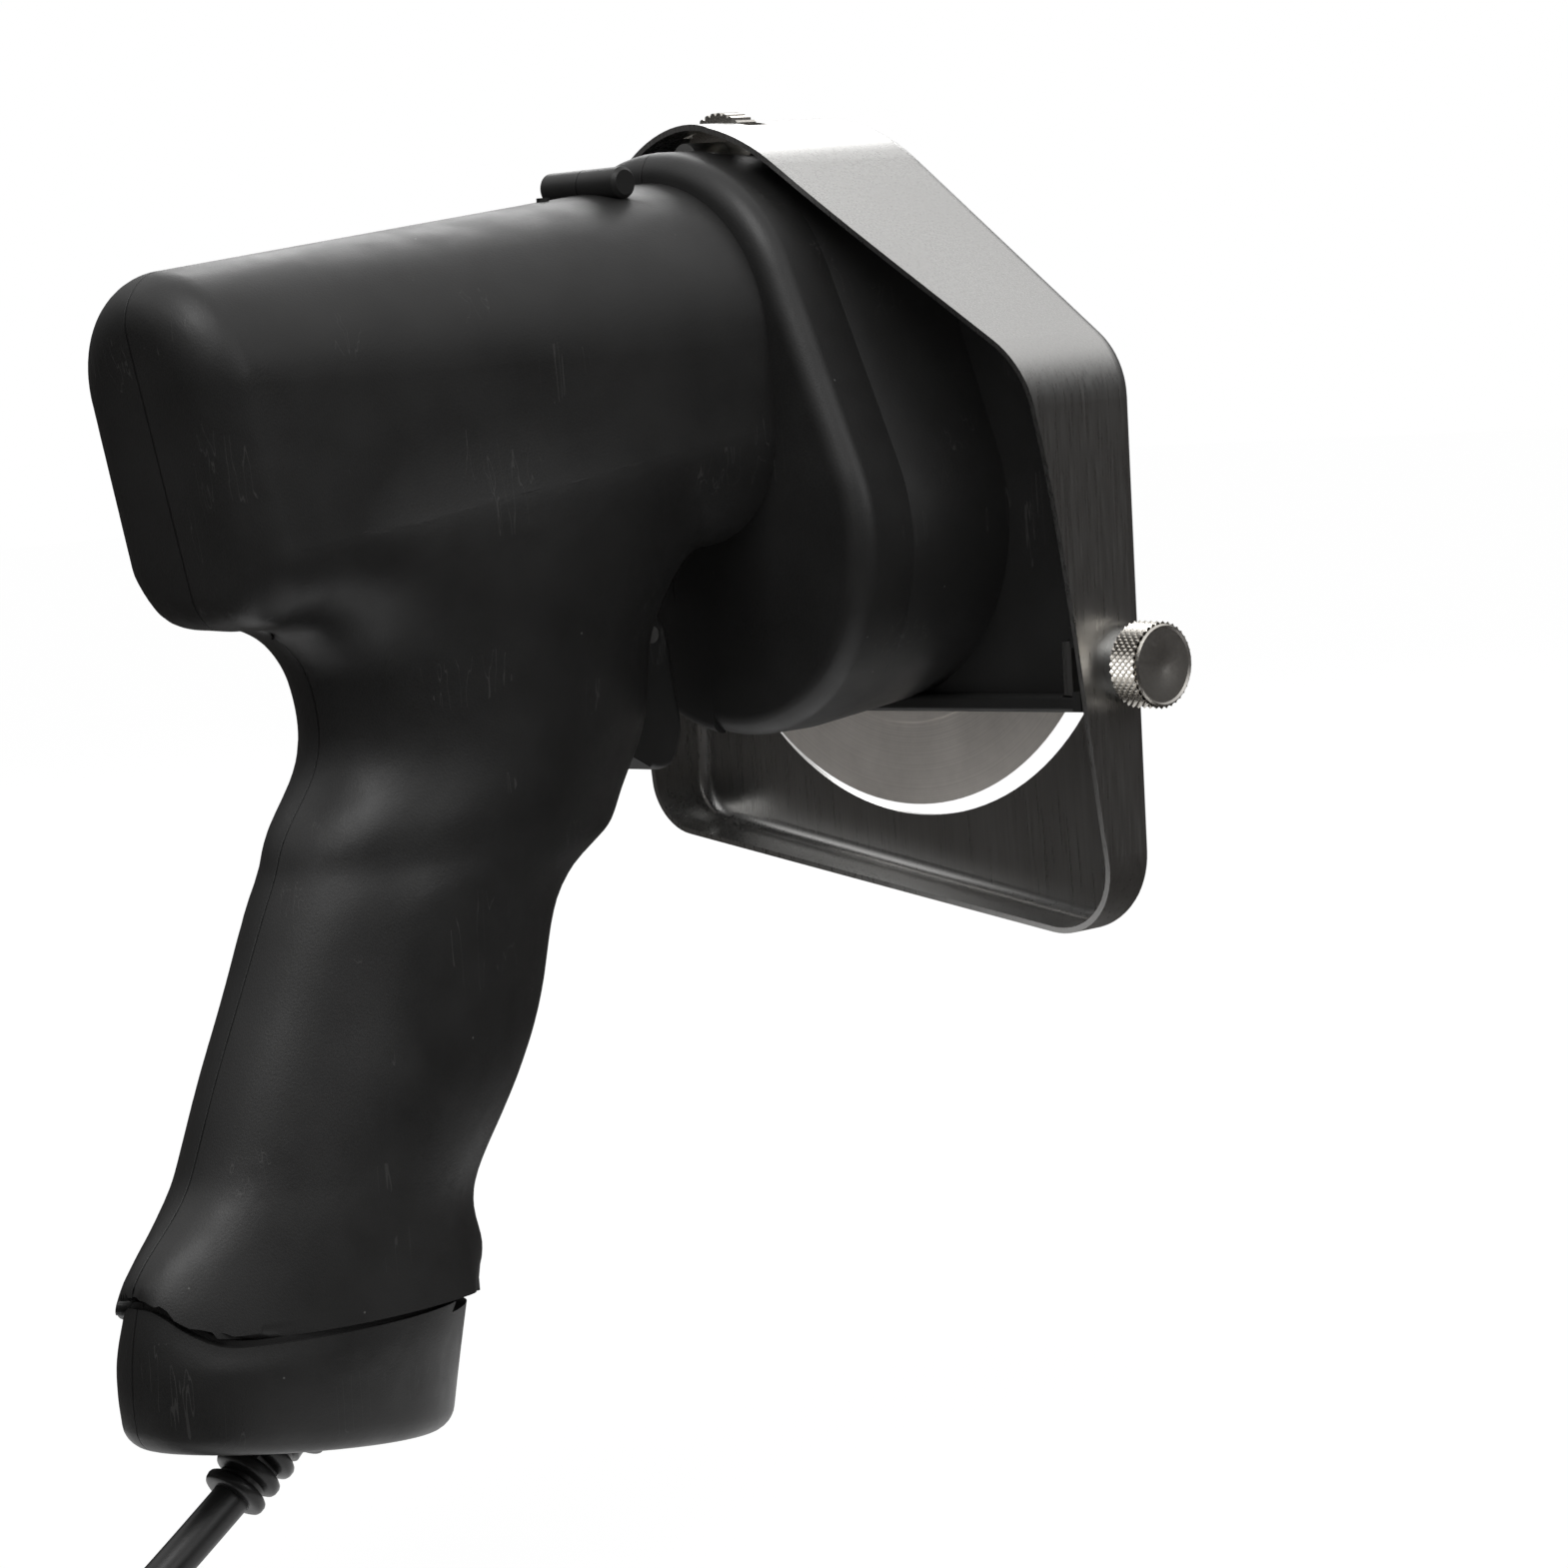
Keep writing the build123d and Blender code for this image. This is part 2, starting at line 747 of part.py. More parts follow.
def bar_level():
    """Depth of the clamp bar's outer face in the lock's frame."""
    return -sheet - 2 * gap - rail_thickness


def bar_window():
    """Window in the cover through which the lock bar moves."""
    return lock_plate(knob_x - 2 * guard_travel - bar_tail - gap, knob_x, bar_height + 2 * gap,
                      bar_level() - bar_thickness - gap, bar_level() + gap)


def boss_slot():
    """Slot in the cover's edge for the bar's boss, open to the front."""
    return lock_plate(-bar_boss / 2 - guard_travel - gap, knob_x, bar_boss + 2 * gap, bar_level(), 0)


def clamp_bar():
    """Bar inside the guard, with a boss out to the wall around the bolt."""
    bar = lock_plate(knob_x - guard_travel - bar_tail, knob_x - 2 * sheet, bar_height,
                     bar_level() - bar_thickness, bar_level())
    boss = lock_plate(-bar_boss / 2, knob_x - bend_radius, bar_boss, bar_level(), -sheet)
    bore = lock_place() * Cylinder(bolt_radius + running, 4 * near_corner)
    return bar + boss - bore


def lock_washer():
    ring = Cylinder(washer_radius, washer_thickness, align=(Align.CENTER, Align.CENTER, Align.MIN))
    return lock_place() * (ring - Cylinder(bolt_radius + running, 3 * washer_thickness))


def lock_knob():
    """Knurled knob with its bolt."""
    knob = Pos(0, 0, washer_thickness) * Cylinder(
        knob_radius, knob_length, align=(Align.CENTER, Align.CENTER, Align.MIN))
    knob = chamfer(knob.edges().filter_by(GeomType.CIRCLE), knob_chamfer)
    top = washer_thickness + knob_length
    knob = knob - Pos(0, 0, top) * Cylinder(knob_face_radius, 2 * knob_face_depth)
    knob = knob - Pos(0, 0, top) * Sphere(knob_dimple)
    depth = bar_thickness - bar_level()
    bolt = Pos(0, 0, -depth) * Cylinder(
        bolt_radius, depth + washer_thickness, align=(Align.CENTER, Align.CENTER, Align.MIN))
    return lock_place() * (knob + bolt)


# Guard, wheel and stud

def guard():
    """Formed sheet guard: front plate with the blade's hole, walls with a curved rear edge."""
    shell = along_x(guard_outline(0), guard_depth, 0)
    shell = fillet(shell.faces().sort_by(Axis.X)[-1].edges(), bend_radius)
    room = along_x(guard_outline(sheet), guard_depth + gap, sheet)
    room = fillet(room.faces().sort_by(Axis.X)[-1].edges(), bend_radius - sheet)
    shape = shell - room
    points = [(guard_depth * x, guard_top * z) for x, z in rear_edge_shares]
    behind = (-2 * guard_depth, points[-1][1])
    below = (-2 * guard_depth, points[0][1])
    edge = make_face([Spline(*points), Polyline(points[-1], behind, below, points[0])])
    shape = shape - along_y(edge, near_reach * 2, -near_reach * 2)
    plan = [(guard_depth * x, guard_top * y) for x, y in far_edge_shares]
    far = (-2 * guard_depth, plan[-1][1])
    near = (-2 * guard_depth, plan[0][1])
    corner = make_face([Spline(*plan), Polyline(plan[-1], far, near, plan[0])])
    shape = shape - extrude(Pos(0, 0, -guard_top * far_cut_share) * corner, amount=2 * guard_top)
    shape = shape - rod(hole_radius, 2 * bend_radius, -overrun, blade_y, blade_z)
    slot = block(-dial_front - dial_width - 2 * running - gap / 2, -dial_front + 2 * running + gap / 2,
                 -slot_half, slot_half, dial_height - dial_radius, guard_top * 2)
    bolt = lock_place() * Cylinder(bolt_radius + running, 4 * washer_thickness)
    return shape - slot - bolt


def thickness_wheel():
    """Toothed wheel with a threaded bore, caught in the guard's slot."""
    step = 2 * math.pi / dial_notches
    root = dial_radius - notch_depth
    points = []
    for k in range(dial_notches):
        for radius, share in zip((root, dial_radius, dial_radius), notch_shares):
            points.append((radius * math.cos(step * (k + share)), radius * math.sin(step * (k + share))))
    face = Pos(0, dial_height) * make_face(Polyline(*points, close=True))
    wheel = along_x(face, dial_front + dial_width, dial_front)
    return wheel - rod(stud_radius + running, 2 * guard_depth, 0, 0, dial_height)


def adjusting_stud():
    return rod(stud_radius, dial_front + dial_width + guard_travel, case_front + wall, 0, dial_height)


# Gears, arbor and blade

def gear_outline(teeth, phase, addendum_share):
    """Spur gear with involute flanks, thinned by half the backlash on each side."""
    pitch = gear_module * teeth / 2
    base = pitch * math.cos(pressure_angle)
    tip = pitch + gear_module * addendum_share
    root = pitch - gear_module * root_share
    half_pitch_angle = (math.pi * gear_module - backlash) / 4 / pitch

    def half_angle(radius):
        turn = math.acos(min(1, base / max(radius, base)))
        return half_pitch_angle + math.tan(pressure_angle) - pressure_angle - math.tan(turn) + turn

    start = max(root, base)
    levels = ([root] if root < base else []) + [start, (start + tip) / 2, tip]
    points = []
    for tooth in range(teeth):
        middle = phase + 2 * math.pi * tooth / teeth
        sides = [(radius, middle - half_angle(radius)) for radius in levels]
        sides = sides + [(radius, middle + half_angle(radius)) for radius in reversed(levels)]
        points = points + [(radius * math.cos(a), radius * math.sin(a)) for radius, a in sides]
    return make_face(Polyline(*points, close=True))


def pinion():
    line = math.atan2(blade_z, blade_y)
    face = gear_outline(pinion_teeth, line, 1.0)
    return along_x(face, pinion_x + pinion_face, pinion_x) - rod(shaft_radius + fit, body_length, 0)


def drive_gear():
    line = math.atan2(-blade_z, -blade_y)
    face = Pos(blade_y, blade_z) * gear_outline(wheel_teeth, line + math.pi / wheel_teeth, gear_tip_share)
    gear = along_x(face, gear_x + wheel_face, gear_x)
    recess_radius = gear_module * wheel_teeth / 2 - gear_module * root_share - wheel_rim
    side = (wheel_face - web) / 2
    rear = gear_x + wheel_face
    for back, front in [(rear + gap, rear - side), (gear_x + side, gear_x - gap)]:
        gear = gear - (rod(recess_radius, back, front, blade_y, blade_z)
                       - rod(hub_radius, back, front, blade_y, blade_z))
    return gear - rod(arbor_radius + fit, body_length, 0, blade_y, blade_z)


def arbor_rear():
    """Distance of the arbor's rear end behind the guard's front."""
    return case_rear - wall + running


def arbor_shaft():
    """Blade arbor: shaft, flange and spigot, bored for the screw."""
    seat = blade_recess + blade_thickness + disc_step
    shape = rod(arbor_radius, arbor_rear() - gap, seat, blade_y, blade_z)
    shape = shape + rod(flange_radius, cover_front - flange_gap, seat, blade_y, blade_z)
    shape = shape + rod(spigot_radius, seat, blade_recess + running, blade_y, blade_z)
    return shape - rod(arbor_screw_radius + fit, blade_recess + arbor_screw_length, 0, blade_y, blade_z)


def blade():
    """Round blade with a bevelled edge and a thicker middle."""
    disc = rod(blade_radius, blade_recess + blade_thickness, blade_recess, blade_y, blade_z)
    rim = disc.faces().sort_by(Axis.X)[-1].edges()
    disc = chamfer(rim, blade_thickness - edge_thickness, bevel)
    middle = rod(disc_radius, blade_recess + blade_thickness + disc_step, blade_recess, blade_y, blade_z)
    return disc + middle - rod(spigot_radius + fit, guard_depth, 0, blade_y, blade_z)


def blade_washer():
    ring = rod(blade_washer_radius, blade_recess, blade_recess - blade_washer_thickness, blade_y, blade_z)
    return ring - rod(arbor_screw_radius + running, guard_depth, -overrun, blade_y, blade_z)


def blade_screw():
    seat = blade_recess - blade_washer_thickness
    head = rod(screw_head_radius, seat, seat - screw_head_height, blade_y, blade_z)
    head = chamfer(head.edges().sort_by(Axis.X)[-1], screw_head_height / 3)
    slot = block(-seat + screw_head_height / 2, overrun, blade_y - screw_head_radius,
                 blade_y + screw_head_radius, blade_z - driver_slot / 2, blade_z + driver_slot / 2)
    shank = rod(arbor_screw_radius, arbor_screw_length, seat, blade_y, blade_z)
    return head - slot + shank


def bearing(radius, bore, back, front, y=0, z=0):
    """Ball bearing with a shield groove on each side."""
    shape = rod(radius, back, front, y, z) - rod(bore, back + gap, front - gap, y, z)
    inner = radius - race_thickness
    outer = bore + race_thickness
    for far, near in [(back + gap, back - shield_step), (front + shield_step, front - gap)]:
        shape = shape - (rod(inner, far, near, y, z) - rod(min(outer, inner - gap), far, near, y, z))
    return shape


# Motor

def motor_shaft():
    shape = rod(shaft_radius, shaft_rear, shaft_front)
    return chamfer(shape.edges().filter_by(GeomType.CIRCLE), knob_chamfer)


def sector(inner, outer, half_angle, middle, back, front):
    """Part of a ring about the motor axis, as wide as twice a half angle."""
    angles = [math.radians(middle - half_angle), math.radians(middle), math.radians(middle + half_angle)]
    low = [(inner * math.cos(a), inner * math.sin(a)) for a in angles]
    high = [(outer * math.cos(a), outer * math.sin(a)) for a in angles]
    face = make_face([ThreePointArc(*low), Line(low[2], high[2]), ThreePointArc(*reversed(high)),
                      Line(high[0], low[0])])
    return along_x(face, back, front)


def stator_core():
    """Laminated ring with two poles."""
    back = motor_front + motor_length
    ring = rod(motor_radius, back, motor_front) - rod(motor_radius - yoke, back + gap, motor_front - gap)
    for middle in (90, 270):
        ring = ring + sector(motor_bore, motor_radius - yoke / 2, pole_half_angle, middle, back, motor_front)
    return ring


def field_coils():
    """Two saddle coils, one around each pole."""
    back = motor_front + motor_length
    coils = []
    for middle in (90, 270):
        coil = sector(coil_inner, coil_outer, coil_to, middle,
                      back + coil_overhang, motor_front - coil_overhang)
        window = sector(coil_inner - gap, coil_outer + gap, coil_from, middle, back + gap, motor_front - gap)
        coils.append(coil - window)
    return Compound(children=coils)


def core_slots_cut(radius, depth, width, back, front):
    """Slots around the motor axis, open to the outside."""
    cuts = []
    for k in range(core_slots):
        slot = block(-back, -front, -width / 2, width / 2, radius - depth, radius + overrun)
        cuts.append(Rot(360 * k / core_slots, 0, 0) * slot)
    return cuts


def armature_core():
    back = motor_front + motor_length
    core = rod(core_radius, back, motor_front)
    core = core - core_slots_cut(core_radius, core_slot_depth, core_slot_width, back + gap, motor_front - gap)
    return core - rod(shaft_radius + fit, body_length, 0)


def armature_windings():
    """Windings: a bundle past each end of the core, joined through its slots."""
    back = motor_front + motor_length
    ends = rod(winding_radius, back + winding_length, back) + rod(
        winding_radius, motor_front, motor_front - winding_length)
    ends = ends - rod(shaft_radius + fit, body_length, 0)
    bars = core_slots_cut(core_radius, core_slot_depth - running, core_slot_width - 2 * running,
                          back, motor_front)
    limit = rod(core_radius - wall / 2, back, motor_front)
    for bar in bars:
        ends = ends + (bar & limit)
    return ends


def commutator():
    """Copper bars around an insulated sleeve."""
    back = commutator_x + commutator_length
    shape = rod(commutator_radius, back, commutator_x)
    for k in range(commutator_bars):
        slot = block(-back - gap, gap - commutator_x, -bar_slot / 2, bar_slot / 2,
                     commutator_radius - bar_slot, commutator_radius + overrun)
        shape = shape - Rot(360 * k / commutator_bars, 0, 0) * slot
    return shape - rod(shaft_radius + fit, body_length, 0)


def brush_holders():
    """Brass box tubes on both sides of the commutator."""
    middle = commutator_x + commutator_length / 2
    start = commutator_radius + brush_stand
    holders = []
    for side in (-1, 1):
        centre = Pos(-middle, side * (start + brush_length / 2), 0)
        tube = Box(brush_width + 2 * brush_wall, brush_length, brush_height + 2 * brush_wall)
        bore = Box(brush_width + 2 * fit, 2 * brush_length, brush_height + 2 * fit)
        holders.append(centre * (tube - bore))
    return Compound(children=holders)


def brushes():
    """Carbon brushes, hollowed to the commutator."""
    middle = commutator_x + commutator_length / 2
    pair = []
    for side in (-1, 1):
        length = brush_length
        centre = Pos(-middle, side * (commutator_radius + length / 2), 0)
        pair.append(centre * Box(brush_width, length, brush_height)
                    - rod(commutator_radius + running, body_length, 0))
    return Compound(children=pair)


# Trigger and switch

def trigger_points(shares):
    return [(-pivot_x + trigger_depth * x, -pivot_drop + trigger_height * z) for x, z in shares]


def trigger():
    """Curved trigger, hung on its pin, with a pad behind for the switch."""
    front = trigger_points(trigger_front_shares)
    back = trigger_points(trigger_back_shares)
    outline = make_face([Spline(*front), Polyline(front[-1], *back, front[0])])
    shape = along_y(outline, trigger_half, -trigger_half)
    rounded = shape.edges().filter_by(lambda edge: edge.geom_type == GeomType.BSPLINE)
    shape = fillet(rounded, trigger_round)
    return shape - pin_y(pivot_radius + running, trigger_half * 2, -trigger_half * 2, -pivot_x, -pivot_drop)


def trigger_pin():
    return pin_y(pivot_radius, pivot_length / 2 - gap, gap - pivot_length / 2, -pivot_x, -pivot_drop)


def button_front():
    """X of the switch button's front face, just behind the trigger."""
    return -pivot_x + trigger_depth * trigger_back_shares[2][0] - gap


def switch_body():
    """Switch case with a bore for its button and two terminals below."""
    body = block(-switch_x - switch_length, -switch_x, -switch_half, switch_half,
                 -switch_drop - switch_height, -switch_drop)
    body = fillet(body.edges().filter_by(Axis.Y), knob_chamfer)
    for side in (-1, 1):
        middle = side * switch_half / 2
        rear = -switch_x - switch_length
        under = -switch_drop - switch_height
        body = body + block(rear + switch_lug, rear + 2 * switch_lug, middle - switch_lug / 2,
                            middle + switch_lug / 2, under - 2 * switch_lug, under)
    depth = button_inside + button_travel + gap
    bore = Pos(-switch_x, 0, -button_drop) * Rot(0, -90, 0) * Cylinder(
        button_radius + running, depth, align=(Align.CENTER, Align.CENTER, Align.MIN))
    return body - bore


def switch_button():
    length = button_front() + switch_x + button_inside
    button = Pos(button_front(), 0, -button_drop) * Rot(0, -90, 0) * Cylinder(
        button_radius, length, align=(Align.CENTER, Align.CENTER, Align.MIN))
    return chamfer(button.edges().sort_by(Axis.X)[-1], knob_chamfer)


# Wiring in the handle

def terminal_block():
    """Block with four screws for the supply and motor leads."""
    body = block(-block_x - block_length, -block_x, -block_half, block_half,
                 -block_drop - block_height, -block_drop)
    for share in (0.25, 0.75):
        for side in (-1, 1):
            well = Pos(-block_x - block_length * share, side * block_half / 2, -block_drop) * Cylinder(
                block_screw, block_height)
            body = body - well
    return body


def suppressor_capacitor():
    """Round capacitor that stands on the terminal block."""
    can = Pos(-block_x - block_length / 2, 0, -block_drop + capacitor_radius) * Rot(90, 0, 0) * Cylinder(
        capacitor_radius, capacitor_length)
    return chamfer(can.edges().filter_by(GeomType.CIRCLE), boss_round)


def bends(points):
    return [bend_for(points, k) for k in range(1, len(points) - 1)]


def lead(points, radius):
    """Tube along straight runs and arcs."""
    path = FilletPolyline(*points, radius=bends(points))
    start = Plane(origin=points[0], z_dir=Vector(*points[1]) - Vector(*points[0]))
    return sweep(start * Circle(radius), path=path)


def print_route(name, points, tube):
    """Print a route's radii, and its tube's volume as a share of section times length."""
    path = FilletPolyline(*points, radius=bends(points))
    print(name, "radii", [round(radius, 1) for radius in bends(points)], "length", round(path.length, 1))
    print(name, "volume over section times length", round(tube.volume / (section_area() * path.length), 4))


def bend_for(points, k):
    """Radius of the arc at a point of a route: as large as its two runs allow."""
    before = Vector(*points[k]) - Vector(*points[k - 1])
    after = Vector(*points[k + 1]) - Vector(*points[k])
    half_turn = math.radians(before.get_angle(after)) / 2
    return bend_share * min(before.length, after.length) / math.tan(half_turn)


def wiring_leads():
    """Leads down from the switch's terminals and back into the front of the terminal block."""
    x = switch_lug * 3 / 2 - switch_x - switch_length
    top = -switch_drop - switch_height - 2 * switch_lug - running
    low = -block_drop - block_height / 2
    leads = []
    for y in (-switch_half / 2, switch_half / 2):
        leads.append(lead([(x, y, top), (x, y, low), (-block_x + running, y, low)], lead_radius))
    return Compound(children=leads)


# Strain relief and cord

def relief_exit():
    """Where the relief's axis leaves the base."""
    rise = (base_x - relief_exit_x) * math.tan(base_tilt)
    return Vector(-relief_exit_x, 0, -base_drop - rise)


def relief_direction():
    return Vector(-math.cos(relief_angle), 0, -math.sin(relief_angle))


def relief_place():
    """Frame at the relief's exit with +Z pointing outwards."""
    return Plane(origin=relief_exit(), x_dir=(0, 1, 0), z_dir=relief_direction()).location


def strain_relief_solid(clearance):
    """Outside of the relief: tapered sleeve with a flange inside the base."""
    outline = Polyline((0, -relief_inside), (relief_top_radius + clearance, -relief_inside),
                       (relief_top_radius + clearance, -relief_neck - relief_flange),
                       (relief_flange_radius + clearance, -relief_neck - relief_flange),
                       (relief_flange_radius + clearance, -relief_neck),
                       (relief_top_radius + clearance, -relief_neck), (relief_top_radius + clearance, 0),
                       (relief_tip_radius + clearance, relief_outside), (0, relief_outside), close=True)
    return relief_place() * revolve(Plane.XZ * make_face(outline), Axis.Z)


def strain_relief():
    shape = strain_relief_solid(0)
    for k in range(relief_grooves):
        height = relief_outside * (k + 1) / (relief_grooves + 1)
        ring = Cylinder(relief_flange_radius, relief_groove_width) - Cylinder(
            relief_tip_radius - relief_groove_depth / 4, relief_groove_width)
        shape = shape - relief_place() * Pos(0, 0, height) * ring
    bore = Cylinder(cord_radius + running, 4 * relief_outside)
    return shape - relief_place() * bore


def relief_tip():
    return relief_exit() + relief_direction() * relief_outside


def tail_points():
    return [tuple(relief_tip())] + tail_route


def cable_tail():
    """End of the cable inside the tool, from the terminal block through the relief."""
    return lead(tail_points(), cord_radius)


def cord_clamp():
    """Bar with two screws that presses on the cable's end inside the base."""
    bar = Pos(0, 0, -clamp_stand) * Box(clamp_height, 2 * clamp_half, clamp_length)
    bar = Pos(clamp_height / 2 + cord_radius / 2, 0, 0) * bar
    place = Plane(origin=relief_exit(), x_dir=(0, 1, 0), z_dir=relief_direction()).location
    bar = place * (Rot(0, 0, 90) * bar)
    bore = place * Cylinder(cord_radius + running, 4 * clamp_stand)
    return bar - bore


def coil_frame():
    """Frame at the coil's centre, with +X towards its start and +Y the way the cord comes in."""
    end = cord_route[-1]
    return Pos(end[0], end[1] - outer_turn(), end[2]) * Rot(0, 0, 90)


def outer_turn():
    return mean_turn_radius + turn_pitch * (2 * turns_each_layer - 1) / 4


def coil_route():
    """Ends of the half turns in the coil's frame: in along the lower layer, out along the upper one."""
    turns = [outer_turn() - turn_pitch * k for k in range(turns_each_layer)]
    inner = outer_turn() - turn_pitch * turns_each_layer
    lower = [side * radius for radius in turns for side in (1, -1)] + [inner]
    upper = [-inner] + [side * radius for radius in reversed(turns) for side in (1, -1)][:-1]
    return [Vector(x, 0, 0) for x in lower] + [Vector(x, 0, layer_pitch) for x in upper]


def half_turn(start, end):
    """Half circle between two points, to the far side going back and to the near side coming forward."""
    side = 1 if end.X < start.X else -1
    middle = (start + end) / 2
    return ThreePointArc(start, middle + Vector(0, side * (end - start).length / 2, 0), end)


def coil_path():
    """The coil's turns, with a gentle rise at the end and a straight run up to the plug."""
    places = coil_route()
    edges = [half_turn(start, end) for start, end in zip(places, places[1:])]
    rise = Vector(0, tail_length, tail_rise)
    middle = places[-1] + rise / 2
    end = places[-1] + rise
    edges.append(TangentArc(places[-1], middle, tangent=(0, 1, 0)))
    edges.append(TangentArc(end, middle, tangent=(0, -1, 0)))
    edges.append(Line(end, end + Vector(0, 2 * cord_radius, 0)))
    return coil_frame() * Wire(edges)


def cord_coil():
    """The rest of the cord: one unbroken tube wound in two layers, and on to the plug."""
    path = coil_path()
    start = Plane(origin=path @ 0, z_dir=path % 0)
    return sweep(start * Circle(cord_radius), path=path)


def section_area():
    return math.pi * cord_radius ** 2


def coil_gap():
    """Least gap between turns of the coil, measured on points along its path."""
    path = coil_path()
    count = int(path.length / cord_radius)
    points = [path @ (k / count) for k in range(count + 1)]
    spacing = path.length / count
    least = path.length
    for k, point in enumerate(points):
        for later in range(k + 1, count + 1):
            if (later - k) * spacing > math.pi * mean_turn_radius / 2:
                least = min(least, (points[later] - point).length)
    return least - 2 * cord_radius


def cord_points():
    return [tuple(relief_tip())] + cord_route


def cord():
    """Free stretch of the cord, from the relief to the coil, cut square at the relief's tip."""
    size = 2 * cord_radius
    inside = relief_place() * Pos(0, 0, relief_outside) * Box(
        size, size, size, align=(Align.CENTER, Align.CENTER, Align.MAX))
    return lead(cord_points(), cord_radius) - inside


def coil_tie():
    """Flat tie around the turns of the coil."""
    step = turn_pitch / 2
    far = outer_turn() - step + cord_radius + tie_clearance
    near = outer_turn() - turn_pitch * (turns_each_layer - 1 / 2) - cord_radius - 2 * tie_clearance
    height = layer_pitch + 2 * cord_radius + tie_clearance
    place = coil_frame() * Pos(0, -(far + near) / 2, layer_pitch / 2)
    band = Box(tie_width, far - near + 2 * tie_thickness, height + 2 * tie_thickness)
    band = fillet(band.edges().filter_by(Axis.X), tie_thickness * 2)
    room = Box(2 * tie_width, far - near, height)
    room = fillet(room.edges().filter_by(Axis.X), tie_thickness)
    return place * (band - room)


# Plug

def plug_place():
    """Frame at the plug's rear end with +Z pointing along the pins."""
    end = coil_route()[-1] + Vector(0, tail_length + 2 * cord_radius, tail_rise)
    return coil_frame() * Plane(origin=end, x_dir=(1, 0, 0), z_dir=(0, 1, 0)).location


def plug_body():
    """Moulded plug: ribbed gland, tapered neck and a round body with two flats."""
    up = (Align.CENTER, Align.CENTER, Align.MIN)
    gland = Cone(plug_gland_radius * 0.9, plug_gland_radius, plug_gland_length, align=up)
    neck_length = plug_neck_radius
    neck = Pos(0, 0, plug_gland_length) * Cone(plug_neck_radius, plug_half_height, neck_length, align=up)
    outline = Circle(plug_half_width) & Rectangle(2 * plug_half_width, 2 * plug_half_height)
    head = Pos(0, 0, plug_gland_length + neck_length) * extrude(outline, amount=plug_length - neck_length)
    head = fillet(head.faces().sort_by(Axis.Z)[0].edges(), plug_round)
    body = gland + neck + head
    for side in (-1, 1):
        socket = Pos(side * pin_spacing / 2, 0, plug_gland_length + plug_length - pin_length / 2) * Cylinder(
            pin_shank_radius + fit, pin_length, align=up)
        body = body - socket
    return plug_place() * body


def plug_pins():
    """Two round pins, each on a thinner shank that is half as deep in the body as the pin stands out."""
    up = (Align.CENTER, Align.CENTER, Align.MIN)
    shank_length = pin_length / 2 + pin_neck
    pins = []
    for side in (-1, 1):
        pin = Cylinder(pin_radius, pin_length - pin_neck, align=up)
        pin = chamfer(pin.edges().sort_by(Axis.Z)[-1], pin_tip)
        pin = Pos(0, 0, shank_length) * pin + Cylinder(pin_shank_radius, shank_length, align=up)
        pins.append(plug_place() * Pos(
            side * pin_spacing / 2, 0, plug_gland_length + plug_length - pin_length / 2) * pin)
    return Compound(children=pins)


def main():
    whole = housing()
    export("housing_right", housing_half(whole, -1))
    export("housing_left", housing_half(whole, 1))
    export("housing_screws", housing_screws())
    export("gearbox_shell", gearbox_shell())
    export("gearbox_screws", gearbox_screws())
    export("blade_cover", blade_cover())
    export("cover_screws", cover_screws())
    export("guard", guard())
    export("clamp_bar", clamp_bar())
    export("lock_washer", lock_washer())
    export("lock_knob", lock_knob())
    export("adjusting_stud", adjusting_stud())
    export("thickness_wheel", thickness_wheel())
    export("blade", blade())
    export("blade_washer", blade_washer())
    export("blade_screw", blade_screw())
    export("arbor_shaft", arbor_shaft())
    export("drive_gear", drive_gear())
    export("arbor_bearing", bearing(arbor_bearing_radius, arbor_radius + running,
                                    arbor_bearing_x + arbor_bearing_width, arbor_bearing_x, blade_y, blade_z))
    export("arbor_bush", rod(bush_radius, case_rear - wall, case_rear - wall - bush_width, blade_y, blade_z)
           - rod(arbor_radius + running, body_length, 0, blade_y, blade_z))
    export("motor_shaft", motor_shaft())
    export("pinion", pinion())
    export("armature_core", armature_core())
    export("armature_windings", armature_windings())
    export("commutator", commutator())
    export("stator_core", stator_core())
    export("field_coils", field_coils())
    export("front_motor_bearing", bearing(bearing_radius, shaft_radius + running,
                                          front_bearing_x + bearing_width, front_bearing_x))
    export("rear_motor_bearing", bearing(bearing_radius, shaft_radius + running,
                                         rear_bearing_x + bearing_width, rear_bearing_x))
    export("brush_holders", brush_holders())
    export("brushes", brushes())
    export("trigger", trigger())
    export("trigger_pin", trigger_pin())
    export("switch_body", switch_body())
    export("switch_button", switch_button())
    export("terminal_block", terminal_block())
    export("suppressor_capacitor", suppressor_capacitor())
    export("wiring_leads", wiring_leads())
    export("strain_relief", strain_relief())
    inside = cable_tail()
    export("cable_tail", inside)
    export("cord_clamp", cord_clamp())
    free = cord()
    export("cord", free)
    coil = cord_coil()
    export("cord_coil", coil)
    export("coil_tie", coil_tie())
    export("plug_body", plug_body())
    export("plug_pins", plug_pins())
    print_route("cable_tail", tail_points(), inside)
    print_route("cord", cord_points(), free)
    turns = coil_path()
    print("coil volume over section times length", round(coil.volume / (section_area() * turns.length), 4))
    print("coil length", round(turns.length, 1), "least gap", round(coil_gap(), 3))


main()
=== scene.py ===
import json
import math

import bmesh
import bpy
from mathutils import Matrix, Vector
from mathutils.kdtree import KDTree


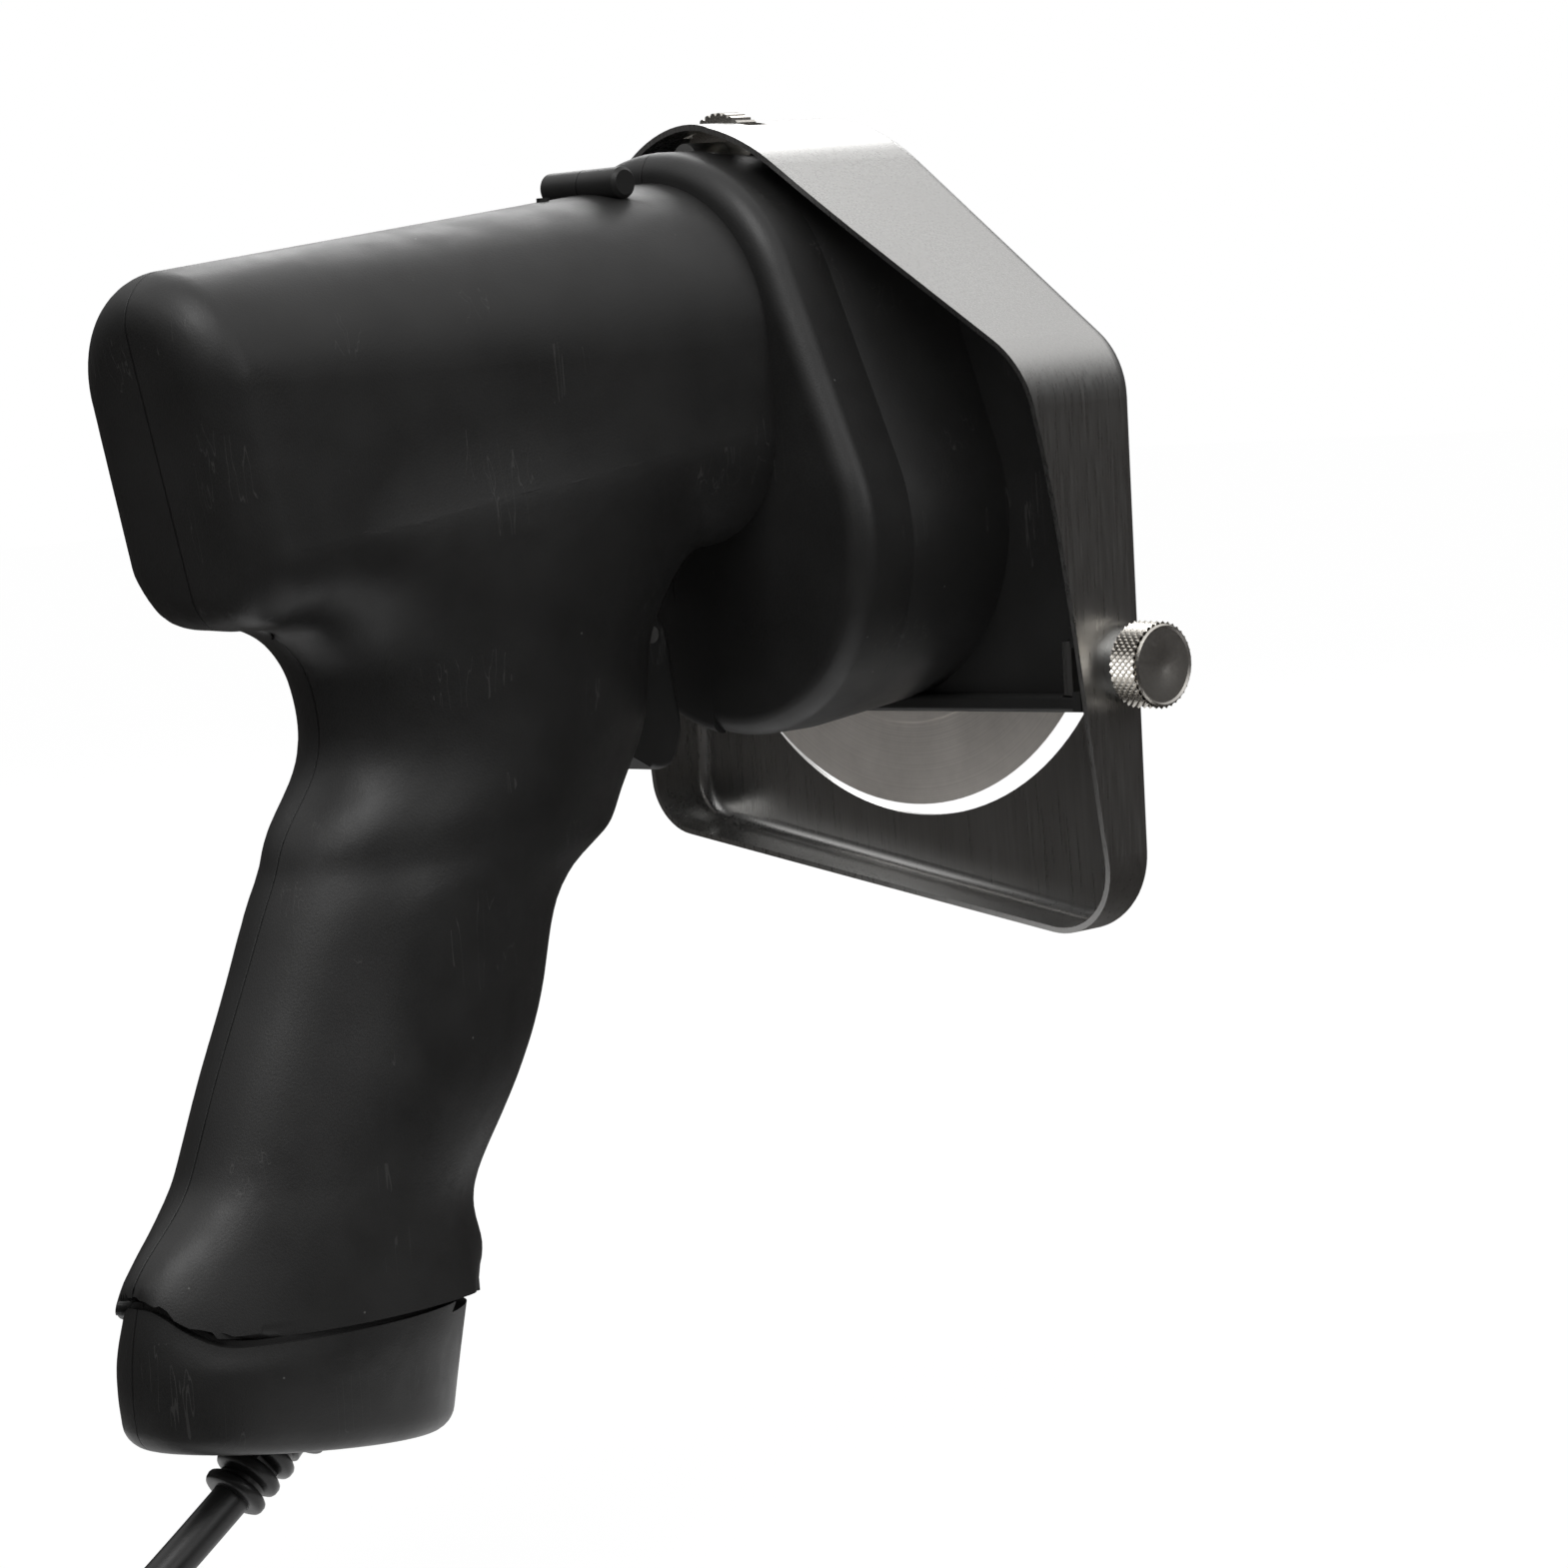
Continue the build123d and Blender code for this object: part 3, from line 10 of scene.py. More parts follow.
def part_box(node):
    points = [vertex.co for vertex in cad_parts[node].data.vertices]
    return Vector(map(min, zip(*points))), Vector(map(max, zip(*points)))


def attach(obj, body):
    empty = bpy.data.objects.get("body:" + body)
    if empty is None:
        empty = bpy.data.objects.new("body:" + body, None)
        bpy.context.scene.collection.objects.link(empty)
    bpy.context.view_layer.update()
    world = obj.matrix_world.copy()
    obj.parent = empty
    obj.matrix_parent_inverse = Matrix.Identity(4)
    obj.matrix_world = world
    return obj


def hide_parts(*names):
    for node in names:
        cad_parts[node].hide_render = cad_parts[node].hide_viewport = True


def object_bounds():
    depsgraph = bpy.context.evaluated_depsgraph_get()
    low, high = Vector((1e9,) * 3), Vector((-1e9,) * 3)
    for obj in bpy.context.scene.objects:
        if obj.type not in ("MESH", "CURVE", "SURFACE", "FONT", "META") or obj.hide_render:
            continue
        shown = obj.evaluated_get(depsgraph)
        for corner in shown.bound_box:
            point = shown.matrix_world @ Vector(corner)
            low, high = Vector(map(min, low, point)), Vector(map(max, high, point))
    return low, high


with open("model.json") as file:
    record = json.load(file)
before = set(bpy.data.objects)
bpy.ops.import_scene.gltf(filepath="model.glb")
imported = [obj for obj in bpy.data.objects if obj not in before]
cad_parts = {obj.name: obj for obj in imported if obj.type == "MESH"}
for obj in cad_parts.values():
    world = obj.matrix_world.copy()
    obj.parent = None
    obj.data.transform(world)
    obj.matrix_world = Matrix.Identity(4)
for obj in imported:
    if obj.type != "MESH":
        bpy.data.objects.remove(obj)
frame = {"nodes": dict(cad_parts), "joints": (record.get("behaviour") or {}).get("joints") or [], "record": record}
cad_box = [[float(value) for value in corner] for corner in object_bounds()]

# Camera, fitted to the photograph
SENSOR = 0.036
FOCAL_SHARE = 5034 / 1569
CAMERA_PLACE = (-0.5102, -0.6393, 0.1125)
CAMERA_HEADING = math.radians(-43.5)
CAMERA_PITCH = math.radians(84.46)
CAMERA_ROLL = math.radians(-4.44)

# Mains cord, in the frame's metres
CORD_DIAMETER = 0.0063
RELIEF_TIP = (-0.037004, 0.0, -0.071417)
CORD_ROUTE = [(-0.0465, 0.0, -0.0776), (-0.0595, 0.0002, -0.0858), (-0.0730, 0.0006, -0.0924),
              (-0.0885, 0.0010, -0.09685), (-0.1040, 0.0010, -0.09685)]
COIL_OUTER_TURN = 0.04369
COIL_TURN_PITCH = 0.00695
COIL_LAYER_PITCH = 0.0068
COIL_TURNS = 3
COIL_POINTS_A_HALF_TURN = 12
TAIL_LENGTH = 0.034
TAIL_RISE = 0.0036
TAIL_SHAPE = [(0.2, 0.0), (0.55, 0.12), (0.9, 0.92), (1.0, 1.0)]
CORD_ROUND_STEPS = 6
CORD_CURVE_STEPS = 6
CORD_ORDER = 3

# Strain relief
RELIEF_AXIS_ANGLE = math.radians(41.0)
RELIEF_OUTSIDE = 0.0114
RELIEF_INSIDE = 0.0110
RELIEF_TOP_RADIUS = 0.0055
RELIEF_TIP_RADIUS = 0.0045
RELIEF_RING_STAND = 0.0007
RELIEF_RINGS = 3
RELIEF_FLANGE_RADIUS = 0.0080
RELIEF_FLANGE = 0.0024
RELIEF_NECK = 0.0034
RELIEF_BORE = 0.0032
RELIEF_RING_SHAPE = [(0.12, -1.2), (0.3, -1.2), (0.42, 0.2), (0.5, 0.75), (0.6, 1.0), (0.8, 1.0),
                     (0.9, 0.75), (0.98, 0.0)]
RELIEF_SLOT_PLACE = 0.21
RELIEF_SLOT_HALF = 0.1
RELIEF_SLOT_START = 1.05
RELIEF_SLOT_WIDTH = 0.8
RELIEF_STEPS = 48

# Lock knob
KNOB_RADIUS = 0.0074
KNOB_LENGTH = 0.0064
KNOB_RIM = 0.0006
KNOB_FACE_RADIUS = 0.0066
KNOB_FACE_DEPTH = 0.00035
KNOB_DIMPLE = 0.0011
WASHER_THICKNESS = 0.0020
BOLT_RADIUS = 0.0019
KNURL_DEPTH = 0.00045
KNURL_AROUND = 36
KNURL_ALONG = 4
KNURL_STEPS = 6
KNURL_MERGE = 0.000005

# Housing screws
SCREW_PLACES = [(-0.0224, 0.1101), (-0.0185, 0.07015), (0.0490, 0.0670), (0.0128, 0.0540),
                (0.0222, -0.0072), (-0.0270, -0.0449), (0.0029, -0.0520)]
SCREW_SHANK = 0.0015
SCREW_HEAD = 0.0030
SCREW_HEAD_THICK = 0.0020
SCREW_DRIVE_WIDTH = 0.0009
SCREW_DRIVE_LENGTH = 0.0036
SCREW_DRIVE_DEPTH = 0.0013
SCREW_HEAD_SHAPE = [(0, 0), (0.55, 0.03), (0.8, 0.12), (0.95, 0.35), (1, 0.6), (1, 1)]
SCREW_STEPS = 24

# Plug
PLUG_START = (-0.1443, 0.0010, -0.08645)
PLUG_GLAND_LENGTH = 0.0200
PLUG_GLAND_RADIUS = 0.0050
PLUG_RIBS = 5
PLUG_RIB_RADIUS = 0.0009
PLUG_RIB_SINK = 0.98
PLUG_RIB_SIDES = 8
PLUG_RIB_STEPS = 32

# Blend between barrel and handle
MERGE = 0.000002
RIM_NEAR = 0.00001
BARREL_AXIS = 0.105
CREASE_LOW = 0.062
CREASE_HIGH = 0.0815
CREASE_AWAY = 0.0335
CREASE_FRONT = 0.072
CREASE_SHARP = math.radians(14)
CREASE_DOWNWARD = -0.25
CREASE_OUTWARD = -0.1
CREASE_SHARES = (0.0, 0.5, 1.0)
BLEND_REACH = 0.019
BLEND_ANGLE = math.radians(50)
BLEND_SEED = 0.0012
BLEND_EDGE = 0.0017
BLEND_STOP = math.radians(50)
BLEND_FRONT_FROM = 0.045
BLEND_FRONT_LESS = 0.65
BLEND_EDGE_SHARES = 4
BLEND_MIX = 4
SPLIT_ROUNDS = 9
RELAX_ROUNDS = 30
RELAX_SHARE = 0.7

# Foot of the handle
FOOT_BACK = -0.052
FOOT_BACK_LEVEL = -0.0356
FOOT_SLOPE = -0.149
FOOT_GROOVE = -0.0003
SHOE_MIDDLE = -0.0174
SHOE_BACK_HALF = 0.0353
SHOE_FRONT_HALF = 0.0292
SHOE_HALF_WIDTH = 0.0194
SHOE_POWER = 2.5
FOOT_TOP = -0.012
FOOT_LOW = -0.060
FOOT_EDGE = 0.0022
FLARE = 0.0052
FLARE_HEIGHT = 0.019
FLARE_FULL = 0.006
FLARE_NONE = 0.024
TOE = 0.0090
TOE_HEIGHT = 0.010
TOE_NONE = 0.002
TOE_FULL = 0.017
DIP_HEIGHT = 0.015
DIP_DEEPEST = -0.0049
DIP_SLOPE = 0.1157
DIP_FROM = -0.035
DIP_SIDE_NONE = 0.002
DIP_SIDE_FULL = 0.014
DIP_SCREW_NONE = 0.005
DIP_SCREW_FULL = 0.011

# Wall of the gear drum behind the trigger
WALL_HALF = 0.00745
WALL_REAR = 0.07401
WALL_FRONT = 0.0766
WALL_TOP = 0.0617
WALL_COLUMNS = 24
DRUM_AXIS = (-0.0133, 0.0713)
DRUM_RADIUS = 0.0333
DRUM_ROUND = 0.0018
DRUM_ROUND_TURNS = (0, 30, 60, 90)

# Meshes
LATHE_STEPS = 64
SMOOTH_BELOW = math.radians(35)

# Plastic
BLACK_PLASTIC = (0.0100, 0.0098, 0.0096)
BLACK_ROUGHNESS = 0.44
MOTTLE_SCALE = 45.0
MOTTLE_PALER = 1.5
DUST_SCALE = 190.0
DUST_SIZE = 0.035
DUST_SOME = 0.72
DUST_SHARE = 0.5
DUST_COLOUR = (0.16, 0.16, 0.155)
HAIRLINE_TURN = (0.5, 0.9, 0.2)
HAIRLINE_STRETCH = (1.0, 1.0, 0.04)
HAIRLINE_SCALE = 420.0
HAIRLINE_WIDTH = 0.006
HAIRLINE_PATCHES = 60.0
HAIRLINE_BARE = 0.62
HAIRLINE_SHARE = 0.3
HAIRLINE_COLOUR = (0.07, 0.068, 0.066)
GRAIN_SCALE = 2600.0
GRAIN_DEPTH = 0.000026
SEAM_DARK = 0.00008
SEAM_EDGE = 0.00028
SEAM_COLOUR = (0.001, 0.001, 0.001)
SEAM_GRAIN = 0.12
SEAM_DEPTH = 0.00022
SHEEN_SCALE = 110.0
PLASTIC_SPECULAR = 0.42

# Metal
BRUSHING_SCALE = 2400.0
BRUSHING_DEPTH = 0.000010
CLOUD_SCALE = 24.0
METAL_WEAR = 0.12
UPRIGHT = (1.0, 1.0, 0.02)
EVEN = (1, 1, 1)
RING_SCALE = 2800.0
RING_DEPTH = 0.000008
RING_COLOUR = (0.40, 0.37, 0.34)
STAIN_SCALE = 70.0
BLADE_BRIGHT = (0.86, 0.81, 0.76)
BLADE_STAINED = (0.66, 0.62, 0.58)
BLADE_METALLIC = 0.3
BAND_BEND = 0.4
BAND_DEPTH = 0.00008

# Rubber
RUBBER_SCALE = 90.0
RUBBER_PALER = 1.6
RUBBER_SPECULAR = 0.4
RUBBER_GRAIN_SCALE = 1500.0
RUBBER_GRAIN_DEPTH = 0.00002

# Stage
SKY_LOW = (0.22, 0.21, 0.20)
SKY_HIGH = (1.0, 1.0, 1.0)
SKY_TONES = ((0.44, 0.20), (0.54, 0.16), (0.66, 0.36), (0.80, 0.85))
# Glowing screen seen only in reflections: painted dark reflections low down, painted light reflections at its top
REFLECTION_SCREEN_CENTRE = (0.03, 0.0)
REFLECTION_SCREEN_INNER = 0.16
REFLECTION_SCREEN_RADIUS = 1.7
REFLECTION_SCREEN_HEIGHT = 1.5
REFLECTION_SCREEN_STEPS = 96
PAINTED_REFLECTION_DARK = (0.045, 0.042, 0.040)
PAINTED_REFLECTION_LIGHT = (0.95, 0.95, 0.95)
PAINTED_REFLECTION_TONES = ((0.30, 0.055), (0.55, 0.20), (0.80, 0.62))
FLOOR_HALF = 4.0
FLOOR_DROP = 0.0002
FLOOR_COLOUR = (0.5, 0.5, 0.5, 1)
FLOOR_ROUGHNESS = 0.9
FLOOR_GLOW_SHARE = 0.9
FLOOR_GLOW = 1.06
LAMP_SHEEN = 0.2
LAMP_AIM = (0.04, 0.0, 0.05)
LAMPS = [("key", (-0.7, -0.5, 1.3), (0.9, 0.9), 9.0),
         ("front_soft", (0.2, -1.5, 0.7), (0.7, 0.7), 3.0),
         ("rim", (1.0, 0.9, 0.9), (0.8, 0.8), 6.0)]


# Small helpers for meshes

def place_mesh(name, mesh_data):
    piece = bpy.data.objects.new(name, mesh_data)
    bpy.context.scene.collection.objects.link(piece)
    return piece


def from_build(name, build):
    """Piece with the faces that were built, as a mesh of its own."""
    data = bpy.data.meshes.new(name)
    build.to_mesh(data)
    build.free()
    return place_mesh(name, data)


def frozen(piece, name):
    """The piece with its modifiers applied, as a plain mesh under its final name."""
    bpy.context.view_layer.update()
    graph = bpy.context.evaluated_depsgraph_get()
    data = bpy.data.meshes.new_from_object(piece.evaluated_get(graph))
    bpy.data.objects.remove(piece)
    data.name = name
    return place_mesh(name, data)


def lathe(name, profile, place, steps=LATHE_STEPS):
    """Closed solid of revolution round the axis that place gives its +Z.

    profile is a loop of radius and height.
    """
    build = bmesh.new()
    rings = []
    for radius, height in profile:
        if radius == 0:
            rings.append([build.verts.new((0, 0, height))])
            continue
        ring = []
        for k in range(steps):
            angle = 2 * math.pi * k / steps
            across, aside = radius * math.cos(angle), radius * math.sin(angle)
            ring.append(build.verts.new((across, aside, height)))
        rings.append(ring)
    ends = rings[1:] + rings[:1]
    for ring, other in zip(rings, ends):
        for k in range(steps):
            after = (k + 1) % steps
            corners = [ring[k % len(ring)], ring[after % len(ring)],
                       other[after % len(other)], other[k % len(other)]]
            unique = list(dict.fromkeys(corners))
            if len(unique) > 2:
                build.faces.new(unique)
    bmesh.ops.recalc_face_normals(build, faces=build.faces)
    build.transform(place)
    return from_build(name, build)


def smooth(piece, angle=SMOOTH_BELOW):
    data = piece.data
    data.polygons.foreach_set("use_smooth", [True] * len(data.polygons))
    data.set_sharp_from_angle(angle=angle)
    return piece


def axis_place(origin, axis):
    """Matrix that puts +Z on an axis through a point."""
    turn = Vector((0, 0, 1)).rotation_difference(Vector(axis)).to_matrix().to_4x4()
    return Matrix.Translation(Vector(origin)) @ turn


def box_mesh(name, low, high, place=Matrix.Identity(4)):
    build = bmesh.new()
    bmesh.ops.create_cube(build, size=1)
    size = Vector(high) - Vector(low)
    middle = (Vector(high) + Vector(low)) / 2
    build.transform(place @ Matrix.Translation(middle) @ Matrix.Diagonal((*size, 1)))
    return from_build(name, build)


def cut(piece, cutters):
    """Cut a list of solids out of a piece, and remove them."""
    name = piece.name
    piece.name = name + "_blank"
    for cutter in cutters:
        step = piece.modifiers.new("cut", "BOOLEAN")
        step.operation = "DIFFERENCE"
        step.solver = "EXACT"
        step.object = cutter
    result = frozen(piece, name)
    for cutter in cutters:
        bpy.data.objects.remove(cutter)
    return result


def dress(piece, finish):
    piece.data.materials.clear()
    piece.data.materials.append(finish)
    return piece


# Camera

def add_camera():
    data = bpy.data.cameras.new("camera")
    data.sensor_width = SENSOR * 1000
    data.lens = SENSOR * 1000 * FOCAL_SHARE
    camera = bpy.data.objects.new("camera", data)
    bpy.context.scene.collection.objects.link(camera)
    turn = (Matrix.Rotation(CAMERA_HEADING, 4, "Z") @ Matrix.Rotation(CAMERA_PITCH, 4, "X")
            @ Matrix.Rotation(CAMERA_ROLL, 4, "Z"))
    camera.matrix_world = Matrix.Translation(Vector(CAMERA_PLACE)) @ turn
    bpy.context.scene.camera = camera


# Cord

def coil_points():
    """Control points of the coil.

    They go in along the lower layer, up at the middle and out along the upper layer.
    """
    low = CORD_ROUTE[-1][2]
    high = low + COIL_LAYER_PITCH
    turns = [COIL_OUTER_TURN - COIL_TURN_PITCH * k for k in range(COIL_TURNS + 1)]
    lower = []
    for radius in turns[:-1]:
        lower.append((radius, low))
        lower.append((-radius, low))
    lower.append((turns[-1], low))
    upper = [(-turns[-1], high)]
    for radius in reversed(turns[:-1]):
        upper.append((radius, high))
        upper.append((-radius, high))
    ends = lower + upper[:-1]
    step = math.pi / COIL_POINTS_A_HALF_TURN
    centre_y = CORD_ROUTE[-1][1] - COIL_OUTER_TURN
    points = []
    for (start, start_z), (end, end_z) in zip(ends, ends[1:]):
        middle = (start + end) / 2
        radius = (start - end) / 2 / math.cos(step / 2)
        side = 1 if start > end else -1
        for k in range(COIL_POINTS_A_HALF_TURN):
            angle = step * (k + 1 / 2)
            share = angle / math.pi
            points.append((CORD_ROUTE[-1][0] - side * abs(radius) * math.sin(angle),
                           centre_y + middle + radius * math.cos(angle),
                           start_z + (end_z - start_z) * share))
    return points


def tail_points():
    x, y, z = CORD_ROUTE[-1]
    z = z + COIL_LAYER_PITCH
    points = [(x - TAIL_LENGTH * along, y, z + TAIL_RISE * rise) for along, rise in TAIL_SHAPE]
    return points + [(x - TAIL_LENGTH - CORD_DIAMETER, y, z + TAIL_RISE)]


def add_cord(finish):
    data = bpy.data.curves.new("mains_cord", "CURVE")
    data.dimensions = "3D"
    data.bevel_depth = CORD_DIAMETER / 2
    data.bevel_resolution = CORD_ROUND_STEPS
    data.resolution_u = CORD_CURVE_STEPS
    data.use_fill_caps = True
    line = data.splines.new("NURBS")
    points = [RELIEF_TIP] + CORD_ROUTE + coil_points() + tail_points()
    line.points.add(len(points) - 1)
    for point, place in zip(line.points, points):
        point.co = (*place, 1)
    line.order_u = CORD_ORDER
    line.use_endpoint_u = True
    piece = bpy.data.objects.new("mains_cord", data)
    bpy.context.scene.collection.objects.link(piece)
    data.materials.append(finish)
    return piece


def relief_place():
    axis = Vector((-math.cos(RELIEF_AXIS_ANGLE), 0, -math.sin(RELIEF_AXIS_ANGLE)))
    start = Vector(RELIEF_TIP) - axis * RELIEF_OUTSIDE
    return axis_place(start, axis)


def add_relief(finish):
    """Ribbed sleeve where the cord leaves the base, with staggered slots between its rings."""
    profile = [(RELIEF_BORE, -RELIEF_INSIDE), (RELIEF_TOP_RADIUS, -RELIEF_INSIDE),
               (RELIEF_TOP_RADIUS, -RELIEF_NECK - RELIEF_FLANGE),
               (RELIEF_FLANGE_RADIUS, -RELIEF_NECK - RELIEF_FLANGE),
               (RELIEF_FLANGE_RADIUS, -RELIEF_NECK),
               (RELIEF_TOP_RADIUS, -RELIEF_NECK), (RELIEF_TOP_RADIUS, 0)]
    pitch = RELIEF_OUTSIDE / RELIEF_RINGS
    fall = (RELIEF_TOP_RADIUS - RELIEF_TIP_RADIUS) / RELIEF_OUTSIDE
    for k in range(RELIEF_RINGS):
        for along, stand in RELIEF_RING_SHAPE:
            height = pitch * (k + along)
            radius = RELIEF_TOP_RADIUS - fall * height + RELIEF_RING_STAND * stand
            profile.append((radius, height))
    profile.append((RELIEF_TIP_RADIUS - RELIEF_RING_STAND, RELIEF_OUTSIDE))
    profile.append((RELIEF_BORE, RELIEF_OUTSIDE))
    place = relief_place()
    sleeve = lathe("cord_relief", profile, place, steps=RELIEF_STEPS)
    half = pitch * RELIEF_SLOT_HALF
    width = RELIEF_BORE * RELIEF_SLOT_WIDTH
    slots = []
    for k in range(RELIEF_RINGS):
        height = pitch * (k + RELIEF_SLOT_PLACE)
        turn = Matrix.Rotation(math.pi / 2 * (k % 2), 4, "Z")
        for side in (-1, 1):
            reach = sorted([side * RELIEF_BORE * RELIEF_SLOT_START, side * 2 * RELIEF_TOP_RADIUS])
            slots.append(box_mesh("slot", (reach[0], -width, height - half),
                                  (reach[1], width, height + half), place @ turn))
    return smooth(dress(cut(sleeve, slots), finish))


# Geometry node trees

def group(name, inputs):
    """Tree with named inputs; returns it with its input and output nodes."""
    tree = bpy.data.node_groups.new(name, "GeometryNodeTree")
    tree.interface.new_socket("Geometry", in_out="OUTPUT", socket_type="NodeSocketGeometry")
    for socket_name, kind in inputs:
        tree.interface.new_socket(socket_name, in_out="INPUT", socket_type=kind)
    return tree, tree.nodes.new("NodeGroupInput"), tree.nodes.new("NodeGroupOutput")


def set_inputs(modifier, values):
    """Set a modifier's inputs by their sockets' identifiers."""
    for item in modifier.node_group.interface.items_tree:
        if item.in_out == "INPUT" and item.name in values:
            modifier[item.identifier] = values[item.name]


def maths(tree, operation, *values):
    step = tree.nodes.new("ShaderNodeMath")
    step.operation = operation
    for k, value in enumerate(values):
        if isinstance(value, bpy.types.NodeSocket):
            tree.links.new(value, step.inputs[k])
        else:
            step.inputs[k].default_value = value
    return step.outputs[0]


def knurl_tree():
    """Round side of a knob with crossed helical grooves."""
    tree, given, result = group("diamond_knurl", [
        ("Radius", "NodeSocketFloat"), ("Length", "NodeSocketFloat"), ("Depth", "NodeSocketFloat"),
        ("Around", "NodeSocketInt"), ("Along", "NodeSocketInt"), ("Steps", "NodeSocketInt"),
        ("Finish", "NodeSocketMaterial")])
    link = tree.links.new
    grid = tree.nodes.new("GeometryNodeMeshGrid")
    grid.inputs["Size X"].default_value = 2 * math.pi
    grid.inputs["Size Y"].default_value = 1
    around = maths(tree, "MULTIPLY", given.outputs["Around"], given.outputs["Steps"])
    along = maths(tree, "MULTIPLY", given.outputs["Along"], given.outputs["Steps"])
    link(maths(tree, "ADD", around, 1), grid.inputs["Vertices X"])
    link(maths(tree, "ADD", along, 1), grid.inputs["Vertices Y"])
    position = tree.nodes.new("GeometryNodeInputPosition")
    split = tree.nodes.new("ShaderNodeSeparateXYZ")
    link(position.outputs[0], split.inputs[0])
    angle = maths(tree, "ADD", split.outputs["X"], math.pi)
    height = maths(tree, "ADD", split.outputs["Y"], 0.5)
    turn = maths(tree, "DIVIDE", angle, 2 * math.pi)
    turn = maths(tree, "MULTIPLY", turn, given.outputs["Around"])
    rise = maths(tree, "MULTIPLY", height, given.outputs["Along"])
    left = maths(tree, "PINGPONG", maths(tree, "ADD", turn, rise), 0.5)
    right = maths(tree, "PINGPONG", maths(tree, "SUBTRACT", turn, rise), 0.5)
    crest = maths(tree, "MULTIPLY", maths(tree, "MINIMUM", left, right), 2)
    shy = maths(tree, "MULTIPLY", maths(tree, "SUBTRACT", 1, crest), given.outputs["Depth"])
    radius = maths(tree, "SUBTRACT", given.outputs["Radius"], shy)
    spot = tree.nodes.new("ShaderNodeCombineXYZ")
    link(maths(tree, "MULTIPLY", radius, maths(tree, "COSINE", angle)), spot.inputs["X"])
    link(maths(tree, "MULTIPLY", radius, maths(tree, "SINE", angle)), spot.inputs["Y"])
    link(maths(tree, "MULTIPLY", height, given.outputs["Length"]), spot.inputs["Z"])
    move = tree.nodes.new("GeometryNodeSetPosition")
    link(grid.outputs["Mesh"], move.inputs["Geometry"])
    link(spot.outputs[0], move.inputs["Position"])
    join = tree.nodes.new("GeometryNodeMergeByDistance")
    join.inputs["Distance"].default_value = KNURL_MERGE
    link(move.outputs[0], join.inputs["Geometry"])
    finish_tree(tree, join.outputs[0], given, result)
    return tree


def finish_tree(tree, geometry, given, result):
    """Realize Instances and Set Material at the end of a tree."""
    real = tree.nodes.new("GeometryNodeRealizeInstances")
    painted = tree.nodes.new("GeometryNodeSetMaterial")
    tree.links.new(geometry, real.inputs[0])
    tree.links.new(real.outputs[0], painted.inputs["Geometry"])
    tree.links.new(given.outputs["Finish"], painted.inputs["Material"])
    tree.links.new(painted.outputs[0], result.inputs[0])


def copies_tree():
    """Copies of one piece at the points of a mesh."""
    tree, given, result = group("copies", [
        ("Points", "NodeSocketGeometry"), ("Piece", "NodeSocketObject"),
        ("Finish", "NodeSocketMaterial")])
    info = tree.nodes.new("GeometryNodeObjectInfo")
    tree.links.new(given.outputs["Piece"], info.inputs["Object"])
    copies = tree.nodes.new("GeometryNodeInstanceOnPoints")
    tree.links.new(given.outputs["Points"], copies.inputs["Points"])
    tree.links.new(info.outputs["Geometry"], copies.inputs["Instance"])
    finish_tree(tree, copies.outputs[0], given, result)
    return tree


def copies(name, piece, places, finish):
    """One mesh with the piece repeated at each place."""
    data = bpy.data.meshes.new(name)
    data.from_pydata([tuple(place) for place in places], [], [])
    points = place_mesh(name + "_points", data)
    modifier = points.modifiers.new("copies", "NODES")
    modifier.node_group = copies_tree()
    set_inputs(modifier, {"Piece": piece, "Finish": finish})
    result = frozen(points, name)
    bpy.data.objects.remove(piece)
    return smooth(result)


# Pieces

def joint(name):
    return next(entry for entry in frame["joints"] if entry["name"] == name)


def add_knob(nickel, turned):
    """Knurled knob with a turned face, a centre dimple and its bolt."""
    turn = joint("lock_turn")
    place = axis_place(turn["pos_m"], turn["axis"])
    low = WASHER_THICKNESS
    top = low + KNOB_LENGTH
    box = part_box("lock_knob")
    depth = max(box[1][1] - turn["pos_m"][1], 0)
    blank = place_mesh("knurl_blank", bpy.data.meshes.new("knurl_blank"))
    modifier = blank.modifiers.new("knurl", "NODES")
    modifier.node_group = knurl_tree()
    set_inputs(modifier, {"Radius": KNOB_RADIUS, "Length": KNOB_LENGTH - 2 * KNOB_RIM,
                          "Depth": KNURL_DEPTH, "Around": KNURL_AROUND, "Along": KNURL_ALONG,
                          "Steps": KNURL_STEPS, "Finish": nickel})
    knurl = frozen(blank, "knob_knurl")
    knurl.data.transform(place @ Matrix.Translation((0, 0, low + KNOB_RIM)))
    side = KNOB_RADIUS - KNURL_DEPTH
    profile = [(0, -depth), (BOLT_RADIUS, -depth), (BOLT_RADIUS, low), (side - KNOB_RIM / 2, low),
               (side, low + KNOB_RIM / 2), (side, low + KNOB_RIM),
               (side - KNURL_DEPTH, low + KNOB_RIM), (side - KNURL_DEPTH, top - KNOB_RIM),
               (side, top - KNOB_RIM), (side, top - KNOB_RIM / 2),
               (side - KNOB_RIM / 2, top), (KNOB_FACE_RADIUS, top),
               (KNOB_FACE_RADIUS - KNOB_FACE_DEPTH, top - KNOB_FACE_DEPTH),
               (KNOB_DIMPLE, top - KNOB_FACE_DEPTH), (0, top - KNOB_FACE_DEPTH - KNOB_DIMPLE / 2)]
    core = smooth(dress(lathe("knob_core", profile, place), nickel))
    core.data.materials.append(turned)
    axis = Vector(turn["axis"]).normalized()
    start = Vector(turn["pos_m"])
    for face in core.data.polygons:
        away = (face.center - start).dot(axis)
        across = ((face.center - start) - axis * away).length
        if away > top - KNOB_FACE_DEPTH - KNOB_DIMPLE and across < KNOB_FACE_RADIUS:
            face.material_index = 1
    for piece in (knurl, core):
        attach(piece, "lock_knob")
    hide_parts("lock_knob")


